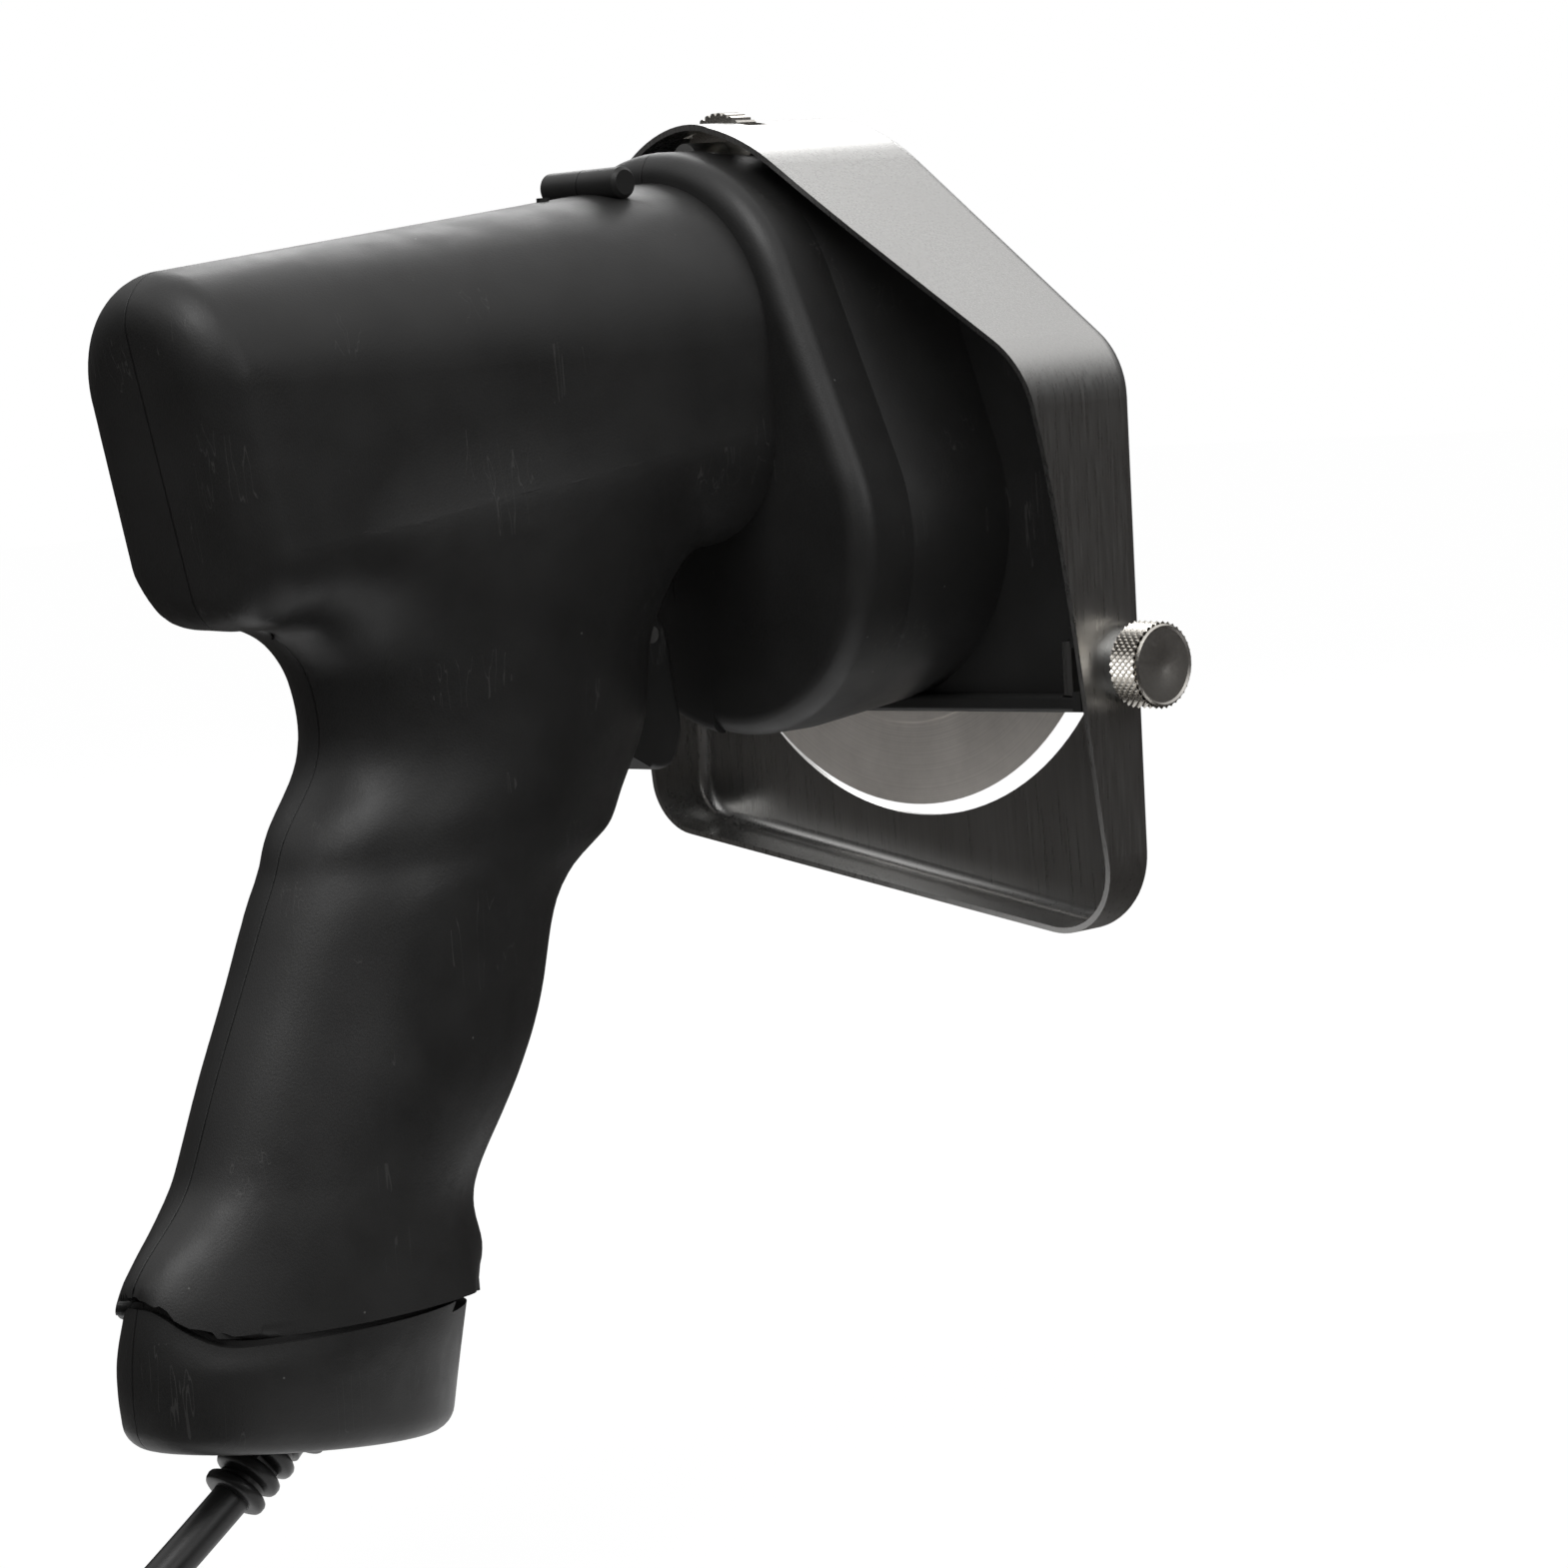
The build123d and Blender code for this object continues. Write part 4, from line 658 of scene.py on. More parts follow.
def screw_blank():
    """Pan-head screw along Y, head outwards, with a cross recess."""
    profile = [(SCREW_HEAD * across, -SCREW_HEAD_THICK * down) for across, down in SCREW_HEAD_SHAPE]
    low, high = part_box("housing_screws")
    length = high[1] - low[1]
    profile += [(SCREW_SHANK, -SCREW_HEAD_THICK), (SCREW_SHANK, -length), (0, -length)]
    blank = lathe("screw", profile, Matrix.Rotation(-math.pi / 2, 4, "X"), steps=SCREW_STEPS)
    half = SCREW_DRIVE_LENGTH / 2
    width = SCREW_DRIVE_WIDTH / 2
    deep = SCREW_DRIVE_DEPTH
    cutters = [box_mesh("drive", (-across, -deep, -up), (across, deep, up))
               for across, up in ((half, width), (width, half))]
    return cut(blank, cutters)


def add_screws(finish):
    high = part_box("housing_screws")[1]
    places = [(x, high[1], z) for x, z in SCREW_PLACES]
    screws = copies("cross_head_screws", screw_blank(), places, finish)
    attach(screws, "housing")
    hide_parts("housing_screws")


def add_plug_ribs(finish):
    """Raised rings round the plug's gland."""
    places = []
    for k in range(PLUG_RIBS):
        share = (k + 1) / (PLUG_RIBS + 1)
        places.append((PLUG_START[0] - PLUG_GLAND_LENGTH * share, PLUG_START[1], PLUG_START[2]))
    outline = []
    for k in range(PLUG_RIB_SIDES):
        angle = 2 * math.pi * k / PLUG_RIB_SIDES
        outline.append((PLUG_GLAND_RADIUS * PLUG_RIB_SINK + PLUG_RIB_RADIUS * math.cos(angle),
                        PLUG_RIB_RADIUS * math.sin(angle)))
    ring = lathe("rib", outline, Matrix.Rotation(math.pi / 2, 4, "Y"), steps=PLUG_RIB_STEPS)
    return copies("plug_gland_ribs", ring, places, finish)


# Housing, re-formed

def ease(value, low, high):
    """Smooth step from 0 at low to 1 at high."""
    share = min(max((value - low) / (high - low), 0.0), 1.0)
    return share * share * (3 - 2 * share)


def outer_crease(build, side):
    """Samples of the inward corner between handle and barrel.

    Each is a place, the direction in which the corner opens, and how sharp it is.
    """
    samples = []
    for edge in build.edges:
        if not edge.is_manifold:
            continue
        middle = (edge.verts[0].co + edge.verts[1].co) / 2
        away = math.hypot(middle.y, middle.z - BARREL_AXIS)
        if not (CREASE_LOW < middle.z < CREASE_HIGH and away > CREASE_AWAY
                and middle.x < CREASE_FRONT):
            continue
        angle = -edge.calc_face_angle_signed(0)
        first, second = (face.normal for face in edge.link_faces)
        if (angle < CREASE_SHARP or min(first.z, second.z) > CREASE_DOWNWARD
                or min(first.y * side, second.y * side) < CREASE_OUTWARD):
            continue
        for share in CREASE_SHARES:
            place = edge.verts[0].co.lerp(edge.verts[1].co, share)
            samples.append((place, (first + second).normalized(), angle))
    return samples


def split_long(build, wanted, limit):
    """Split the long edges of a region until they are short."""
    for _ in range(SPLIT_ROUNDS):
        long_edges = [edge for edge in build.edges if edge.calc_length() > limit and wanted(edge)]
        if not long_edges:
            break
        bmesh.ops.subdivide_edges(build, edges=long_edges, cuts=1)
        bmesh.ops.triangulate(build, faces=[face for face in build.faces if len(face.verts) > 3])


def blend_crease(build, side):
    """Fill the corner between barrel and handle with a soft hollow."""
    samples = outer_crease(build, side)
    tree = KDTree(len(samples))
    for k, sample in enumerate(samples):
        tree.insert(sample[0], k)
    tree.balance()

    def beside(edge):
        low, high = edge.verts[0].co, edge.verts[1].co
        return any(tree.find(low.lerp(high, share / BLEND_EDGE_SHARES))[2] < BLEND_REACH
                   for share in range(BLEND_EDGE_SHARES + 1))

    split_long(build, beside, BLEND_EDGE)
    build.normal_update()
    seeds = [vert for vert in build.verts if tree.find(vert.co)[2] < BLEND_SEED]
    region = set(seeds)
    stack = list(seeds)
    while stack:
        vert = stack.pop()
        for edge in vert.link_edges:
            other = edge.other_vert(vert)
            away = tree.find(other.co)[2]
            if other in region or not edge.is_manifold or away > BLEND_REACH:
                continue
            if edge.calc_face_angle(0) > BLEND_STOP and away > BLEND_SEED:
                continue
            region.add(other)
            stack.append(other)
    shifts = {}
    weights = {}
    for vert in region:
        away = tree.find(vert.co)[2]
        total, open_way, angle = 0.0, Vector((0, 0, 0)), 0.0
        for _, index, distance in tree.find_range(vert.co, away + BLEND_SEED * BLEND_MIX):
            weight = math.exp(-(distance - away) / BLEND_SEED)
            total += weight
            open_way += samples[index][1] * weight
            angle += samples[index][2] * weight
        angle = angle / total
        reach = BLEND_REACH * min(1.0, BLEND_ANGLE / angle)
        reach = reach * (1 - BLEND_FRONT_LESS * ease(vert.co.x, BLEND_FRONT_FROM, CREASE_FRONT))
        if away >= reach:
            continue
        amount = reach / 2 * math.sin(angle / 2) * (1 - away / reach) ** 2
        shift = open_way.normalized() * amount
        if abs(vert.co.y) < RIM_NEAR:
            shift.y = 0
        shifts[vert] = shift
        weights[vert] = 1 - away / reach
    for vert, shift in shifts.items():
        vert.co = vert.co + shift
    return weights


def relax(weights):
    """Even out the facets of a region, less towards its rim."""
    inner = [vert for vert in weights if abs(vert.co.y) > RIM_NEAR
             and all(edge.other_vert(vert) in weights for edge in vert.link_edges)]
    for _ in range(RELAX_ROUNDS):
        moved = []
        for vert in inner:
            middle = Vector((0, 0, 0))
            for edge in vert.link_edges:
                middle += edge.other_vert(vert).co
            middle = middle / len(vert.link_edges)
            moved.append(vert.co.lerp(middle, RELAX_SHARE * weights[vert]))
        for vert, place in zip(inner, moved):
            vert.co = place


def foot_shift(place):
    """Foot of the handle: flared back, drawn-in toe, and a groove that dips at the sides."""
    height = place.z - (FOOT_BACK_LEVEL + FOOT_SLOPE * (place.x - FOOT_BACK))
    shift = Vector((0, 0, 0))
    if height > FOOT_GROOVE:
        across = min(abs(place.y) / SHOE_HALF_WIDTH, 1)
        plan = (1 - across ** SHOE_POWER) ** (1 / SHOE_POWER)
        back = 1 - ease(place.x, FOOT_BACK + FLARE_FULL, FOOT_BACK + FLARE_NONE)
        rise = min(max(height, 0), FLARE_HEIGHT) / FLARE_HEIGHT
        flared = place.x - FLARE * back * (1 + math.cos(math.pi * rise)) / 2
        limit = min(SHOE_MIDDLE - SHOE_BACK_HALF * plan, place.x)
        shift.x += max(flared, limit) - place.x
        front = ease(place.x, TOE_NONE, TOE_FULL)
        rise = min(max(height, 0), TOE_HEIGHT) / TOE_HEIGHT
        drawn = place.x - TOE * front * (1 - rise) ** 2
        limit = min(SHOE_MIDDLE + SHOE_FRONT_HALF * plan, place.x)
        shift.x += max(drawn, limit) - place.x
    side = ease(abs(place.y), DIP_SIDE_NONE, DIP_SIDE_FULL)
    fade = (1 + math.cos(math.pi * min(abs(height) / DIP_HEIGHT, 1))) / 2
    dip = min(DIP_DEEPEST + DIP_SLOPE * (place.x - DIP_FROM), 0)
    if place.y > 0:
        screw = min(math.hypot(place.x - x, place.z - z) for x, z in SCREW_PLACES)
        fade = fade * ease(screw, DIP_SCREW_NONE, DIP_SCREW_FULL)
    shift.z += dip * side * fade
    return shift


def add_housing(name, node, side, finish):
    """Copy of a housing half with its blends and its foot."""
    build = bmesh.new()
    build.from_mesh(frame["nodes"][node].data)
    bmesh.ops.remove_doubles(build, verts=build.verts, dist=MERGE)
    relax(blend_crease(build, side))
    split_long(build, lambda edge: min(v.co.z for v in edge.verts) < FOOT_TOP
               and max(v.co.z for v in edge.verts) > FOOT_LOW, FOOT_EDGE)
    for vert in build.verts:
        if vert.co.z < FOOT_TOP:
            vert.co = vert.co + foot_shift(vert.co)
    bmesh.ops.recalc_face_normals(build, faces=build.faces)
    build.verts.index_update()
    data = bpy.data.meshes.new(name)
    data.from_pydata([vert.co[:] for vert in build.verts], [],
                     [[vert.index for vert in face.verts] for face in build.faces])
    build.free()
    piece = smooth(dress(place_mesh(name, data), finish))
    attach(piece, "housing")
    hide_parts(node)


def add_gearbox_wall(finish):
    """Rear wall of the gear drum behind the trigger."""
    build = bmesh.new()
    loops = []
    for k in range(WALL_COLUMNS + 1):
        y = WALL_HALF * (2 * k / WALL_COLUMNS - 1)
        outline = [(WALL_REAR, WALL_TOP)]
        for turn in DRUM_ROUND_TURNS:
            angle = math.radians(turn)
            radius = DRUM_RADIUS - DRUM_ROUND * (1 - math.sin(angle))
            level = DRUM_AXIS[1] - math.sqrt(radius ** 2 - (y - DRUM_AXIS[0]) ** 2)
            outline.append((WALL_REAR + DRUM_ROUND * (1 - math.cos(angle)), level))
        outline.append((WALL_FRONT, level))
        outline.append((WALL_FRONT, WALL_TOP))
        loops.append([build.verts.new((x, y, z)) for x, z in outline])
    for loop, other in zip(loops, loops[1:]):
        for k in range(len(loop)):
            after = (k + 1) % len(loop)
            build.faces.new((loop[k], loop[after], other[after], other[k]))
    build.faces.new(loops[0])
    build.faces.new(loops[-1])
    bmesh.ops.recalc_face_normals(build, faces=build.faces)
    piece = smooth(dress(from_build("gear_drum_wall", build), finish))
    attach(piece, "housing")


# Materials

def new_finish(name):
    finish = bpy.data.materials.new(name)
    finish.use_nodes = True
    return finish, finish.node_tree, finish.node_tree.nodes["Principled BSDF"]


def coordinates(tree, scale=(1, 1, 1), turn=(0, 0, 0)):
    source = tree.nodes.new("ShaderNodeTexCoord")
    mapping = tree.nodes.new("ShaderNodeMapping")
    mapping.inputs["Scale"].default_value = scale
    mapping.inputs["Rotation"].default_value = turn
    tree.links.new(source.outputs["Object"], mapping.inputs["Vector"])
    return mapping.outputs["Vector"]


def noise(tree, vector, scale, detail=4.0, roughness=0.5):
    texture = tree.nodes.new("ShaderNodeTexNoise")
    texture.inputs["Scale"].default_value = scale
    texture.inputs["Detail"].default_value = detail
    texture.inputs["Roughness"].default_value = roughness
    tree.links.new(vector, texture.inputs["Vector"])
    return texture.outputs["Fac"]


def spread(tree, value, low, high, to_low, to_high):
    """Map a value from one range to another, and keep it inside."""
    step = tree.nodes.new("ShaderNodeMapRange")
    step.inputs["From Min"].default_value = low
    step.inputs["From Max"].default_value = high
    step.inputs["To Min"].default_value = to_low
    step.inputs["To Max"].default_value = to_high
    tree.links.new(value, step.inputs["Value"])
    return step.outputs["Result"]


def blend_colours(tree, share, first, second):
    step = tree.nodes.new("ShaderNodeMix")
    step.data_type = "RGBA"
    tree.links.new(share, step.inputs["Factor"])
    sockets = [s for s in step.inputs if s.type == "RGBA"]
    for socket, colour in zip(sockets, (first, second)):
        if isinstance(colour, bpy.types.NodeSocket):
            tree.links.new(colour, socket)
        else:
            socket.default_value = (*colour, 1)
    return next(s for s in step.outputs if s.type == "RGBA")


def add_bump(tree, shader, height, distance):
    bump = tree.nodes.new("ShaderNodeBump")
    bump.inputs["Distance"].default_value = distance
    bump.inputs["Strength"].default_value = 1.0
    tree.links.new(height, bump.inputs["Height"])
    tree.links.new(bump.outputs["Normal"], shader.inputs["Normal"])


def specks(tree, scale, size):
    """1 in small round specks, in some of the cells."""
    cells = tree.nodes.new("ShaderNodeTexVoronoi")
    cells.inputs["Scale"].default_value = scale
    tree.links.new(coordinates(tree), cells.inputs["Vector"])
    near = maths(tree, "LESS_THAN", cells.outputs["Distance"], size)
    split = tree.nodes.new("ShaderNodeSeparateColor")
    tree.links.new(cells.outputs["Color"], split.inputs[0])
    some = maths(tree, "GREATER_THAN", split.outputs[0], DUST_SOME)
    return maths(tree, "MULTIPLY", near, some)


def scratches(tree, turn, scale, width):
    """1 along thin, broken lines in one direction."""
    lines = noise(tree, coordinates(tree, HAIRLINE_STRETCH, turn), scale, 2.0)
    away = maths(tree, "ABSOLUTE", maths(tree, "SUBTRACT", lines, 0.5))
    line = maths(tree, "LESS_THAN", away, width)
    patches = noise(tree, coordinates(tree), HAIRLINE_PATCHES, 1.0)
    return maths(tree, "MULTIPLY", line, maths(tree, "GREATER_THAN", patches, HAIRLINE_BARE))


def moulded_plastic(name, colour, roughness, seam):
    """Satin moulded plastic with grain, dust and hairlines; seam also draws the parting line."""
    finish, tree, shader = new_finish(name)
    plain = coordinates(tree)
    mottle = noise(tree, plain, MOTTLE_SCALE, 3.0)
    pale = tuple(min(1.0, c * MOTTLE_PALER) for c in colour)
    base = blend_colours(tree, spread(tree, mottle, 0.35, 0.7, 0, 1), colour, pale)
    dust = maths(tree, "MULTIPLY", specks(tree, DUST_SCALE, DUST_SIZE), DUST_SHARE)
    base = blend_colours(tree, dust, base, DUST_COLOUR)
    hairline = scratches(tree, HAIRLINE_TURN, HAIRLINE_SCALE, HAIRLINE_WIDTH)
    hairline = maths(tree, "MULTIPLY", hairline, HAIRLINE_SHARE)
    base = blend_colours(tree, hairline, base, HAIRLINE_COLOUR)
    grain = noise(tree, plain, GRAIN_SCALE, 2.0, 0.6)
    if seam:
        split = tree.nodes.new("ShaderNodeSeparateXYZ")
        tree.links.new(plain, split.inputs[0])
        away = maths(tree, "ABSOLUTE", split.outputs["Y"])
        open_share = spread(tree, away, SEAM_DARK, SEAM_EDGE, 0, 1)
        base = blend_colours(tree, open_share, SEAM_COLOUR, base)
        height = maths(tree, "ADD", maths(tree, "MULTIPLY", grain, SEAM_GRAIN), open_share)
        add_bump(tree, shader, height, SEAM_DEPTH)
    else:
        add_bump(tree, shader, grain, GRAIN_DEPTH)
    tree.links.new(base, shader.inputs["Base Color"])
    sheen = noise(tree, plain, SHEEN_SCALE, 3.0)
    rough = spread(tree, sheen, 0.3, 0.7, roughness - 0.05, roughness + 0.06)
    tree.links.new(rough, shader.inputs["Roughness"])
    shader.inputs["Specular IOR Level"].default_value = PLASTIC_SPECULAR
    return finish


def brushed_metal(name, colour, roughness, stretch):
    """Metal with fine brushing along one direction and uneven sheen."""
    finish, tree, shader = new_finish(name)
    brushing = noise(tree, coordinates(tree, stretch), BRUSHING_SCALE, 3.0, 0.65)
    cloud = noise(tree, coordinates(tree), CLOUD_SCALE, 3.0)
    dark = tuple(c * (1 - METAL_WEAR) for c in colour)
    base = blend_colours(tree, spread(tree, brushing, 0.35, 0.65, 0, 1), dark, colour)
    base = blend_colours(tree, spread(tree, cloud, 0.35, 0.75, 0, 0.5), base, dark)
    tree.links.new(base, shader.inputs["Base Color"])
    shader.inputs["Metallic"].default_value = 1.0
    mixed = maths(tree, "ADD", spread(tree, brushing, 0.3, 0.7, -0.05, 0.06),
                  spread(tree, cloud, 0.3, 0.7, roughness - 0.03, roughness + 0.03))
    tree.links.new(mixed, shader.inputs["Roughness"])
    add_bump(tree, shader, brushing, BRUSHING_DEPTH)
    return finish


def blade_steel(name, centre):
    """Ground disc: rings round the centre, warm mottling."""
    finish, tree, shader = new_finish(name)
    source = tree.nodes.new("ShaderNodeTexCoord")
    shifted = tree.nodes.new("ShaderNodeVectorMath")
    shifted.operation = "SUBTRACT"
    tree.links.new(source.outputs["Object"], shifted.inputs[0])
    shifted.inputs[1].default_value = centre
    split = tree.nodes.new("ShaderNodeSeparateXYZ")
    tree.links.new(shifted.outputs[0], split.inputs[0])
    away = maths(tree, "SQRT", maths(tree, "ADD", maths(tree, "POWER", split.outputs["Y"], 2),
                                     maths(tree, "POWER", split.outputs["Z"], 2)))
    join = tree.nodes.new("ShaderNodeCombineXYZ")
    tree.links.new(away, join.inputs["X"])
    rings = noise(tree, join.outputs[0], RING_SCALE, 2.0)
    stains = noise(tree, coordinates(tree), STAIN_SCALE, 5.0, 0.6)
    stained = spread(tree, stains, 0.35, 0.7, 0, 1)
    base = blend_colours(tree, stained, BLADE_BRIGHT, BLADE_STAINED)
    base = blend_colours(tree, spread(tree, rings, 0.35, 0.65, 0, 0.25), base, RING_COLOUR)
    tree.links.new(base, shader.inputs["Base Color"])
    shader.inputs["Metallic"].default_value = BLADE_METALLIC
    tree.links.new(spread(tree, stains, 0.3, 0.7, 0.46, 0.6), shader.inputs["Roughness"])
    add_bump(tree, shader, rings, RING_DEPTH)
    return finish


def rubber(name, colour):
    finish, tree, shader = new_finish(name)
    plain = coordinates(tree)
    patch = noise(tree, plain, RUBBER_SCALE, 3.0)
    pale = tuple(c * RUBBER_PALER for c in colour)
    base = blend_colours(tree, spread(tree, patch, 0.35, 0.7, 0, 1), colour, pale)
    tree.links.new(base, shader.inputs["Base Color"])
    tree.links.new(spread(tree, patch, 0.3, 0.7, 0.32, 0.44), shader.inputs["Roughness"])
    shader.inputs["Specular IOR Level"].default_value = RUBBER_SPECULAR
    add_bump(tree, shader, noise(tree, plain, RUBBER_GRAIN_SCALE, 2.0), RUBBER_GRAIN_DEPTH)
    return finish


def banded(name, first, second, metallic, roughness, scale, axis):
    """Material in fine bands along one axis, as windings and stacked sheets have."""
    finish, tree, shader = new_finish(name)
    wave = tree.nodes.new("ShaderNodeTexWave")
    wave.bands_direction = axis
    wave.inputs["Scale"].default_value = scale
    wave.inputs["Distortion"].default_value = BAND_BEND
    tree.links.new(coordinates(tree), wave.inputs["Vector"])
    base = blend_colours(tree, wave.outputs["Fac"], first, second)
    tree.links.new(base, shader.inputs["Base Color"])
    shader.inputs["Metallic"].default_value = metallic
    shader.inputs["Roughness"].default_value = roughness
    add_bump(tree, shader, wave.outputs["Fac"], BAND_DEPTH)
    return finish


def finishes():
    """One finish for each material slot of the record."""
    blade_axis = joint("blade_spin")["pos_m"]
    return {
        "black_plastic": moulded_plastic("black_plastic", BLACK_PLASTIC, BLACK_ROUGHNESS, False),
        "steel_sheet": brushed_metal("steel_sheet", (0.52, 0.515, 0.505), 0.30, UPRIGHT),
        "blade_steel": blade_steel("blade_steel", blade_axis),
        "nickel": brushed_metal("nickel", (0.66, 0.63, 0.58), 0.24, EVEN),
        "zinc_steel": brushed_metal("zinc_steel", (0.55, 0.55, 0.54), 0.34, EVEN),
        "bearing_steel": brushed_metal("bearing_steel", (0.55, 0.56, 0.58), 0.2, (0.02, 1, 1)),
        "bronze": brushed_metal("bronze", (0.50, 0.34, 0.17), 0.45, EVEN),
        "brass": brushed_metal("brass", (0.74, 0.58, 0.30), 0.26, (1, 0.05, 1)),
        "copper": banded("copper", (0.58, 0.25, 0.12), (0.30, 0.11, 0.05), 1.0, 0.35, 700.0, "Y"),
        "iron_laminations": banded("iron_laminations", (0.20, 0.20, 0.21), (0.08, 0.08, 0.09),
                                   1.0, 0.5, 900.0, "X"),
        "carbon": moulded_plastic("carbon", (0.03, 0.03, 0.032), 0.7, False),
        "cable_rubber": rubber("cable_rubber", (0.0095, 0.0093, 0.0092)),
        "light_plastic": moulded_plastic("light_plastic", (0.62, 0.60, 0.55), 0.45, False),
    }


# Stage

def shown_share(tree):
    """1 for the rays that show the background: camera, glossy and transmission."""
    path = tree.nodes.new("ShaderNodeLightPath")
    either = maths(tree, "MAXIMUM", path.outputs["Is Camera Ray"], path.outputs["Is Glossy Ray"])
    return maths(tree, "MAXIMUM", either, path.outputs["Is Transmission Ray"])


def shaded(tree, value, low, high, tones):
    """Colour along a value from 0 to 1: an end colour at each end, grey tones between them."""
    ramp = tree.nodes.new("ShaderNodeValToRGB")
    tree.links.new(value, ramp.inputs["Fac"])
    stops = ramp.color_ramp.elements
    stops[0].position, stops[0].color = 0.0, (*low, 1)
    stops[1].position, stops[1].color = 1.0, (*high, 1)
    for place, tone in tones:
        stop = stops.new(place)
        stop.color = (tone, tone, tone, 1)
    return ramp.outputs["Color"]


def add_world():
    world = bpy.data.worlds.new("studio")
    bpy.context.scene.world = world
    world.use_nodes = True
    tree = world.node_tree
    tree.nodes.clear()
    link = tree.links.new
    source = tree.nodes.new("ShaderNodeTexCoord")
    split = tree.nodes.new("ShaderNodeSeparateXYZ")
    link(source.outputs["Generated"], split.inputs[0])
    height = spread(tree, split.outputs["Z"], -1, 1, 0, 1)
    studio = tree.nodes.new("ShaderNodeBackground")
    link(shaded(tree, height, SKY_LOW, SKY_HIGH, SKY_TONES), studio.inputs["Color"])
    white = tree.nodes.new("ShaderNodeBackground")
    white.inputs["Color"].default_value = (1, 1, 1, 1)
    seen = tree.nodes.new("ShaderNodeMixShader")
    link(shown_share(tree), seen.inputs["Fac"])
    link(studio.outputs[0], seen.inputs[1])
    link(white.outputs[0], seen.inputs[2])
    out = tree.nodes.new("ShaderNodeOutputWorld")
    link(seen.outputs[0], out.inputs["Surface"])


def add_painted_reflection_screen():
    """Glowing screen round the tool that only reflections show: painted reflections, darkest below and light
    towards its top.
    """
    level = cad_box[0][2] - FLOOR_DROP / 2
    build = bmesh.new()
    rings = []
    for radius, height in ((REFLECTION_SCREEN_INNER, level), (REFLECTION_SCREEN_RADIUS, level),
                           (REFLECTION_SCREEN_RADIUS, level + REFLECTION_SCREEN_HEIGHT)):
        ring = []
        for k in range(REFLECTION_SCREEN_STEPS):
            angle = 2 * math.pi * k / REFLECTION_SCREEN_STEPS
            ring.append(build.verts.new((REFLECTION_SCREEN_CENTRE[0] + radius * math.cos(angle),
                                         REFLECTION_SCREEN_CENTRE[1] + radius * math.sin(angle), height)))
        rings.append(ring)
    for ring, other in zip(rings, rings[1:]):
        for k in range(REFLECTION_SCREEN_STEPS):
            after = (k + 1) % REFLECTION_SCREEN_STEPS
            build.faces.new((ring[k], ring[after], other[after], other[k]))
    reflection_screen = from_build("dark_cloth", build)
    finish, tree, shader = new_finish("dark_cloth")
    split = tree.nodes.new("ShaderNodeSeparateXYZ")
    tree.links.new(coordinates(tree), split.inputs[0])
    height = spread(tree, split.outputs["Z"], level, level + REFLECTION_SCREEN_HEIGHT, 0, 1)
    # Painted reflection: the glow runs from dark at the floor to near white at the top
    glow = tree.nodes.new("ShaderNodeEmission")
    tree.links.new(shaded(tree, height, PAINTED_REFLECTION_DARK, PAINTED_REFLECTION_LIGHT, PAINTED_REFLECTION_TONES), glow.inputs["Color"])
    tree.links.new(glow.outputs[0], tree.nodes["Material Output"].inputs["Surface"])
    tree.nodes.remove(shader)
    dress(reflection_screen, finish)
    reflection_screen.visible_camera = False
    reflection_screen.visible_diffuse = False
    reflection_screen.visible_shadow = False
    reflection_screen.visible_transmission = False


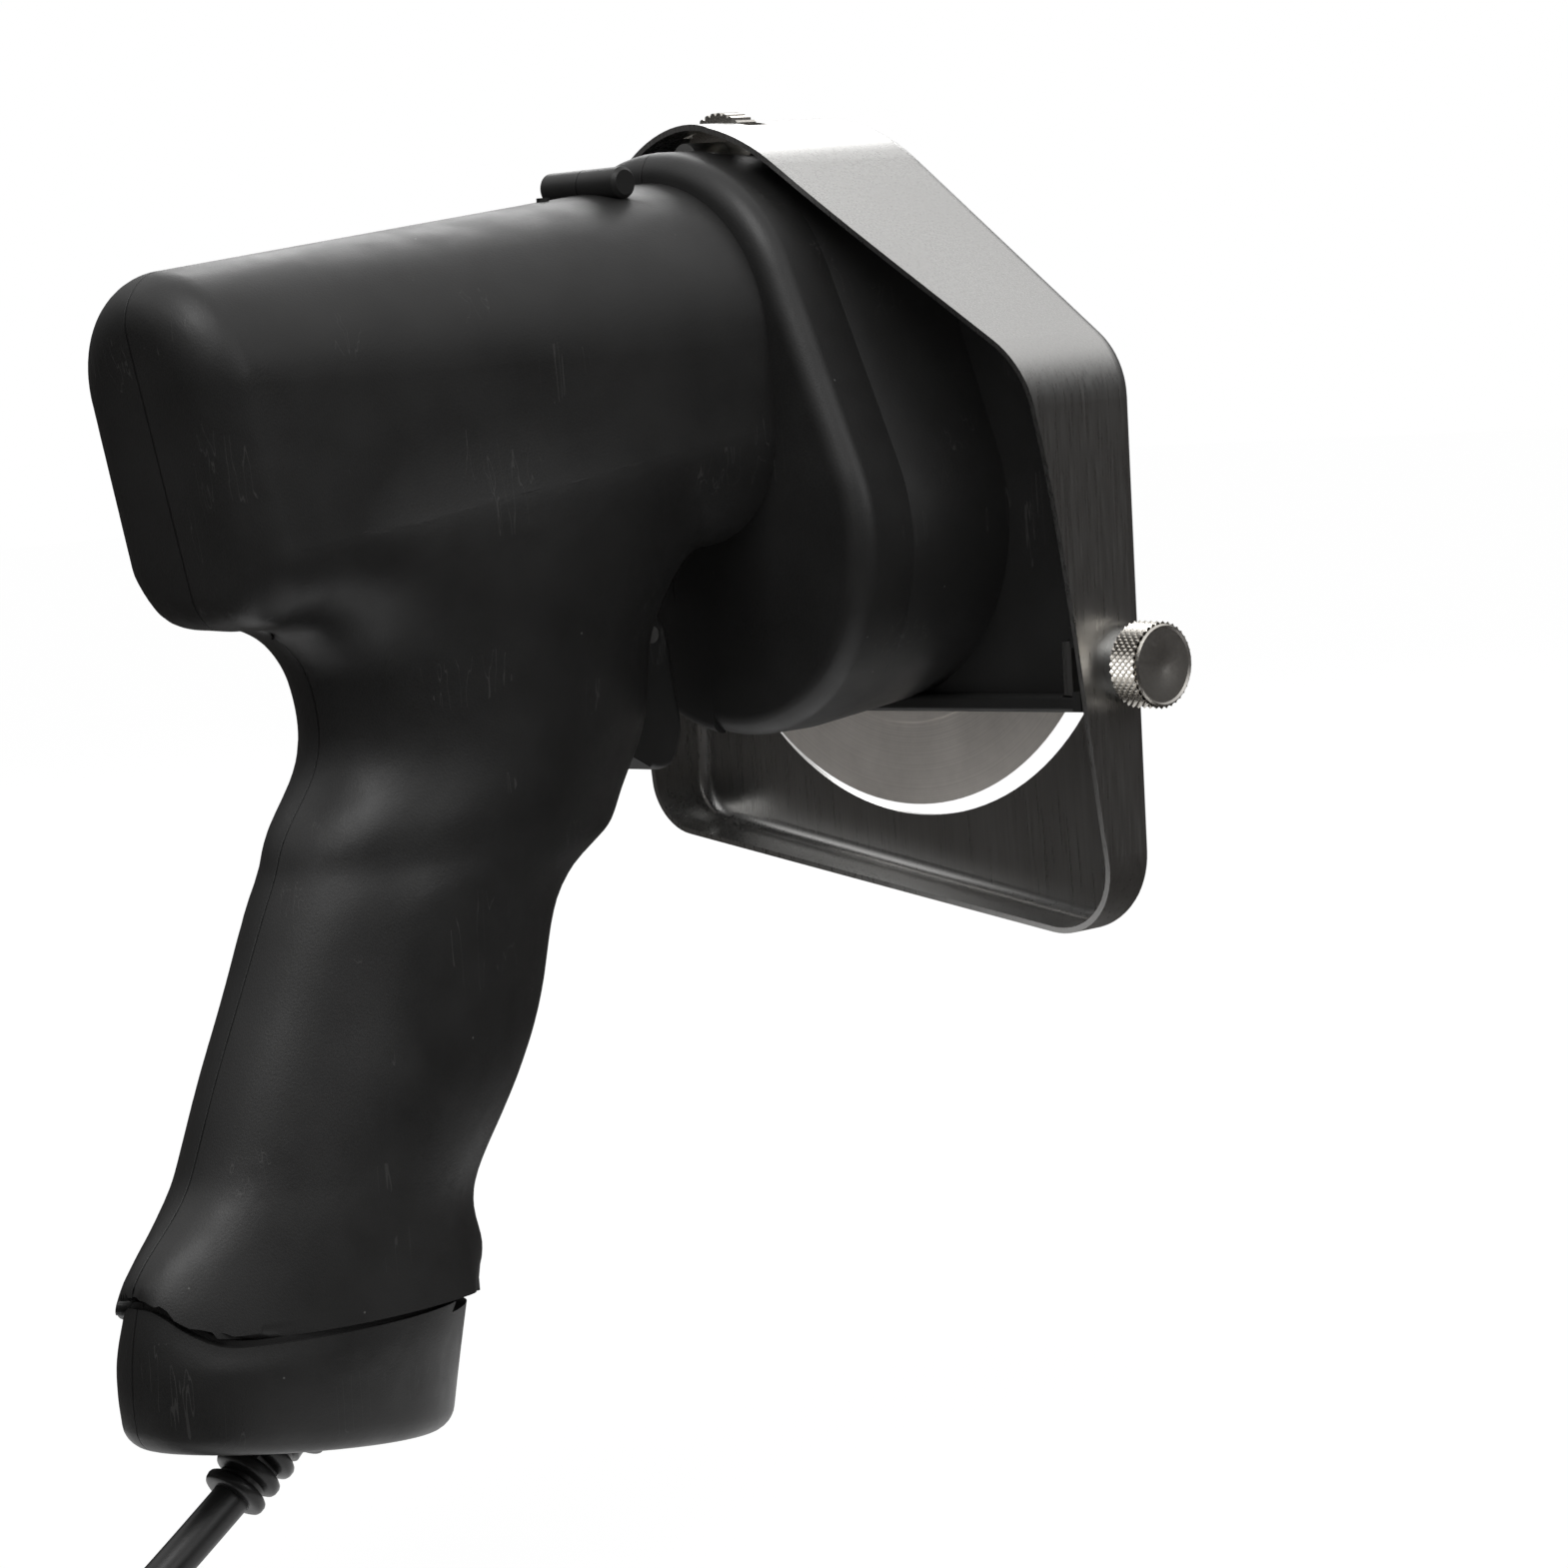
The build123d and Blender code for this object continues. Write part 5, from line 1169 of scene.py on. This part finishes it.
def add_floor():
    level = cad_box[0][2] - FLOOR_DROP
    data = bpy.data.meshes.new("floor")
    corners = [(-1, -1), (1, -1), (1, 1), (-1, 1)]
    data.from_pydata([(FLOOR_HALF * x, FLOOR_HALF * y, level) for x, y in corners], [],
                     [(0, 1, 2, 3)])
    floor = place_mesh("floor", data)
    finish, tree, shader = new_finish("pale_floor")
    shader.inputs["Base Color"].default_value = FLOOR_COLOUR
    shader.inputs["Roughness"].default_value = FLOOR_ROUGHNESS
    shader.inputs["Specular IOR Level"].default_value = 0.0
    glow = tree.nodes.new("ShaderNodeEmission")
    share = maths(tree, "MULTIPLY", shown_share(tree), FLOOR_GLOW_SHARE)
    seen = tree.nodes.new("ShaderNodeMixShader")
    tree.links.new(share, seen.inputs["Fac"])
    tree.links.new(shader.outputs[0], seen.inputs[1])
    tree.links.new(glow.outputs[0], seen.inputs[2])
    glow.inputs["Strength"].default_value = FLOOR_GLOW
    tree.links.new(seen.outputs[0], tree.nodes["Material Output"].inputs["Surface"])
    dress(floor, finish)


def add_light(name, place, size, power):
    data = bpy.data.lights.new(name, "AREA")
    data.shape = "RECTANGLE"
    data.size, data.size_y = size
    data.energy = power
    data.specular_factor = LAMP_SHEEN
    lamp = bpy.data.objects.new(name, data)
    bpy.context.scene.collection.objects.link(lamp)
    direction = Vector(LAMP_AIM) - Vector(place)
    turn = direction.to_track_quat("-Z", "Y").to_matrix().to_4x4()
    lamp.matrix_world = Matrix.Translation(Vector(place)) @ turn


# Build

scene = bpy.context.scene
scene.view_settings.view_transform = "Standard"
add_camera()
add_world()
add_floor()
# Screen that paints reflections into the metal and plastic
add_painted_reflection_screen()
for lamp_entry in LAMPS:
    add_light(*lamp_entry)

finish_of = finishes()
seamed_plastic = moulded_plastic("black_plastic_parted", BLACK_PLASTIC, BLACK_ROUGHNESS, True)
turned_nickel = brushed_metal("turned_nickel", (0.52, 0.50, 0.47), 0.42, EVEN)
for part in frame["record"]["subparts"]:
    dress(frame["nodes"][part["node"]], finish_of[part["material_slot"]])
add_housing("housing_shell_right", "housing_right", -1, seamed_plastic)
add_housing("housing_shell_left", "housing_left", 1, seamed_plastic)
add_gearbox_wall(finish_of["black_plastic"])

cord = add_cord(finish_of["cable_rubber"])
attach(cord, "housing")
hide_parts("cord", "cord_coil")
relief = add_relief(finish_of["cable_rubber"])
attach(relief, "housing")
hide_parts("strain_relief")
ribs = add_plug_ribs(finish_of["cable_rubber"])
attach(ribs, "housing")

add_knob(finish_of["nickel"], turned_nickel)
add_screws(finish_of["zinc_steel"])
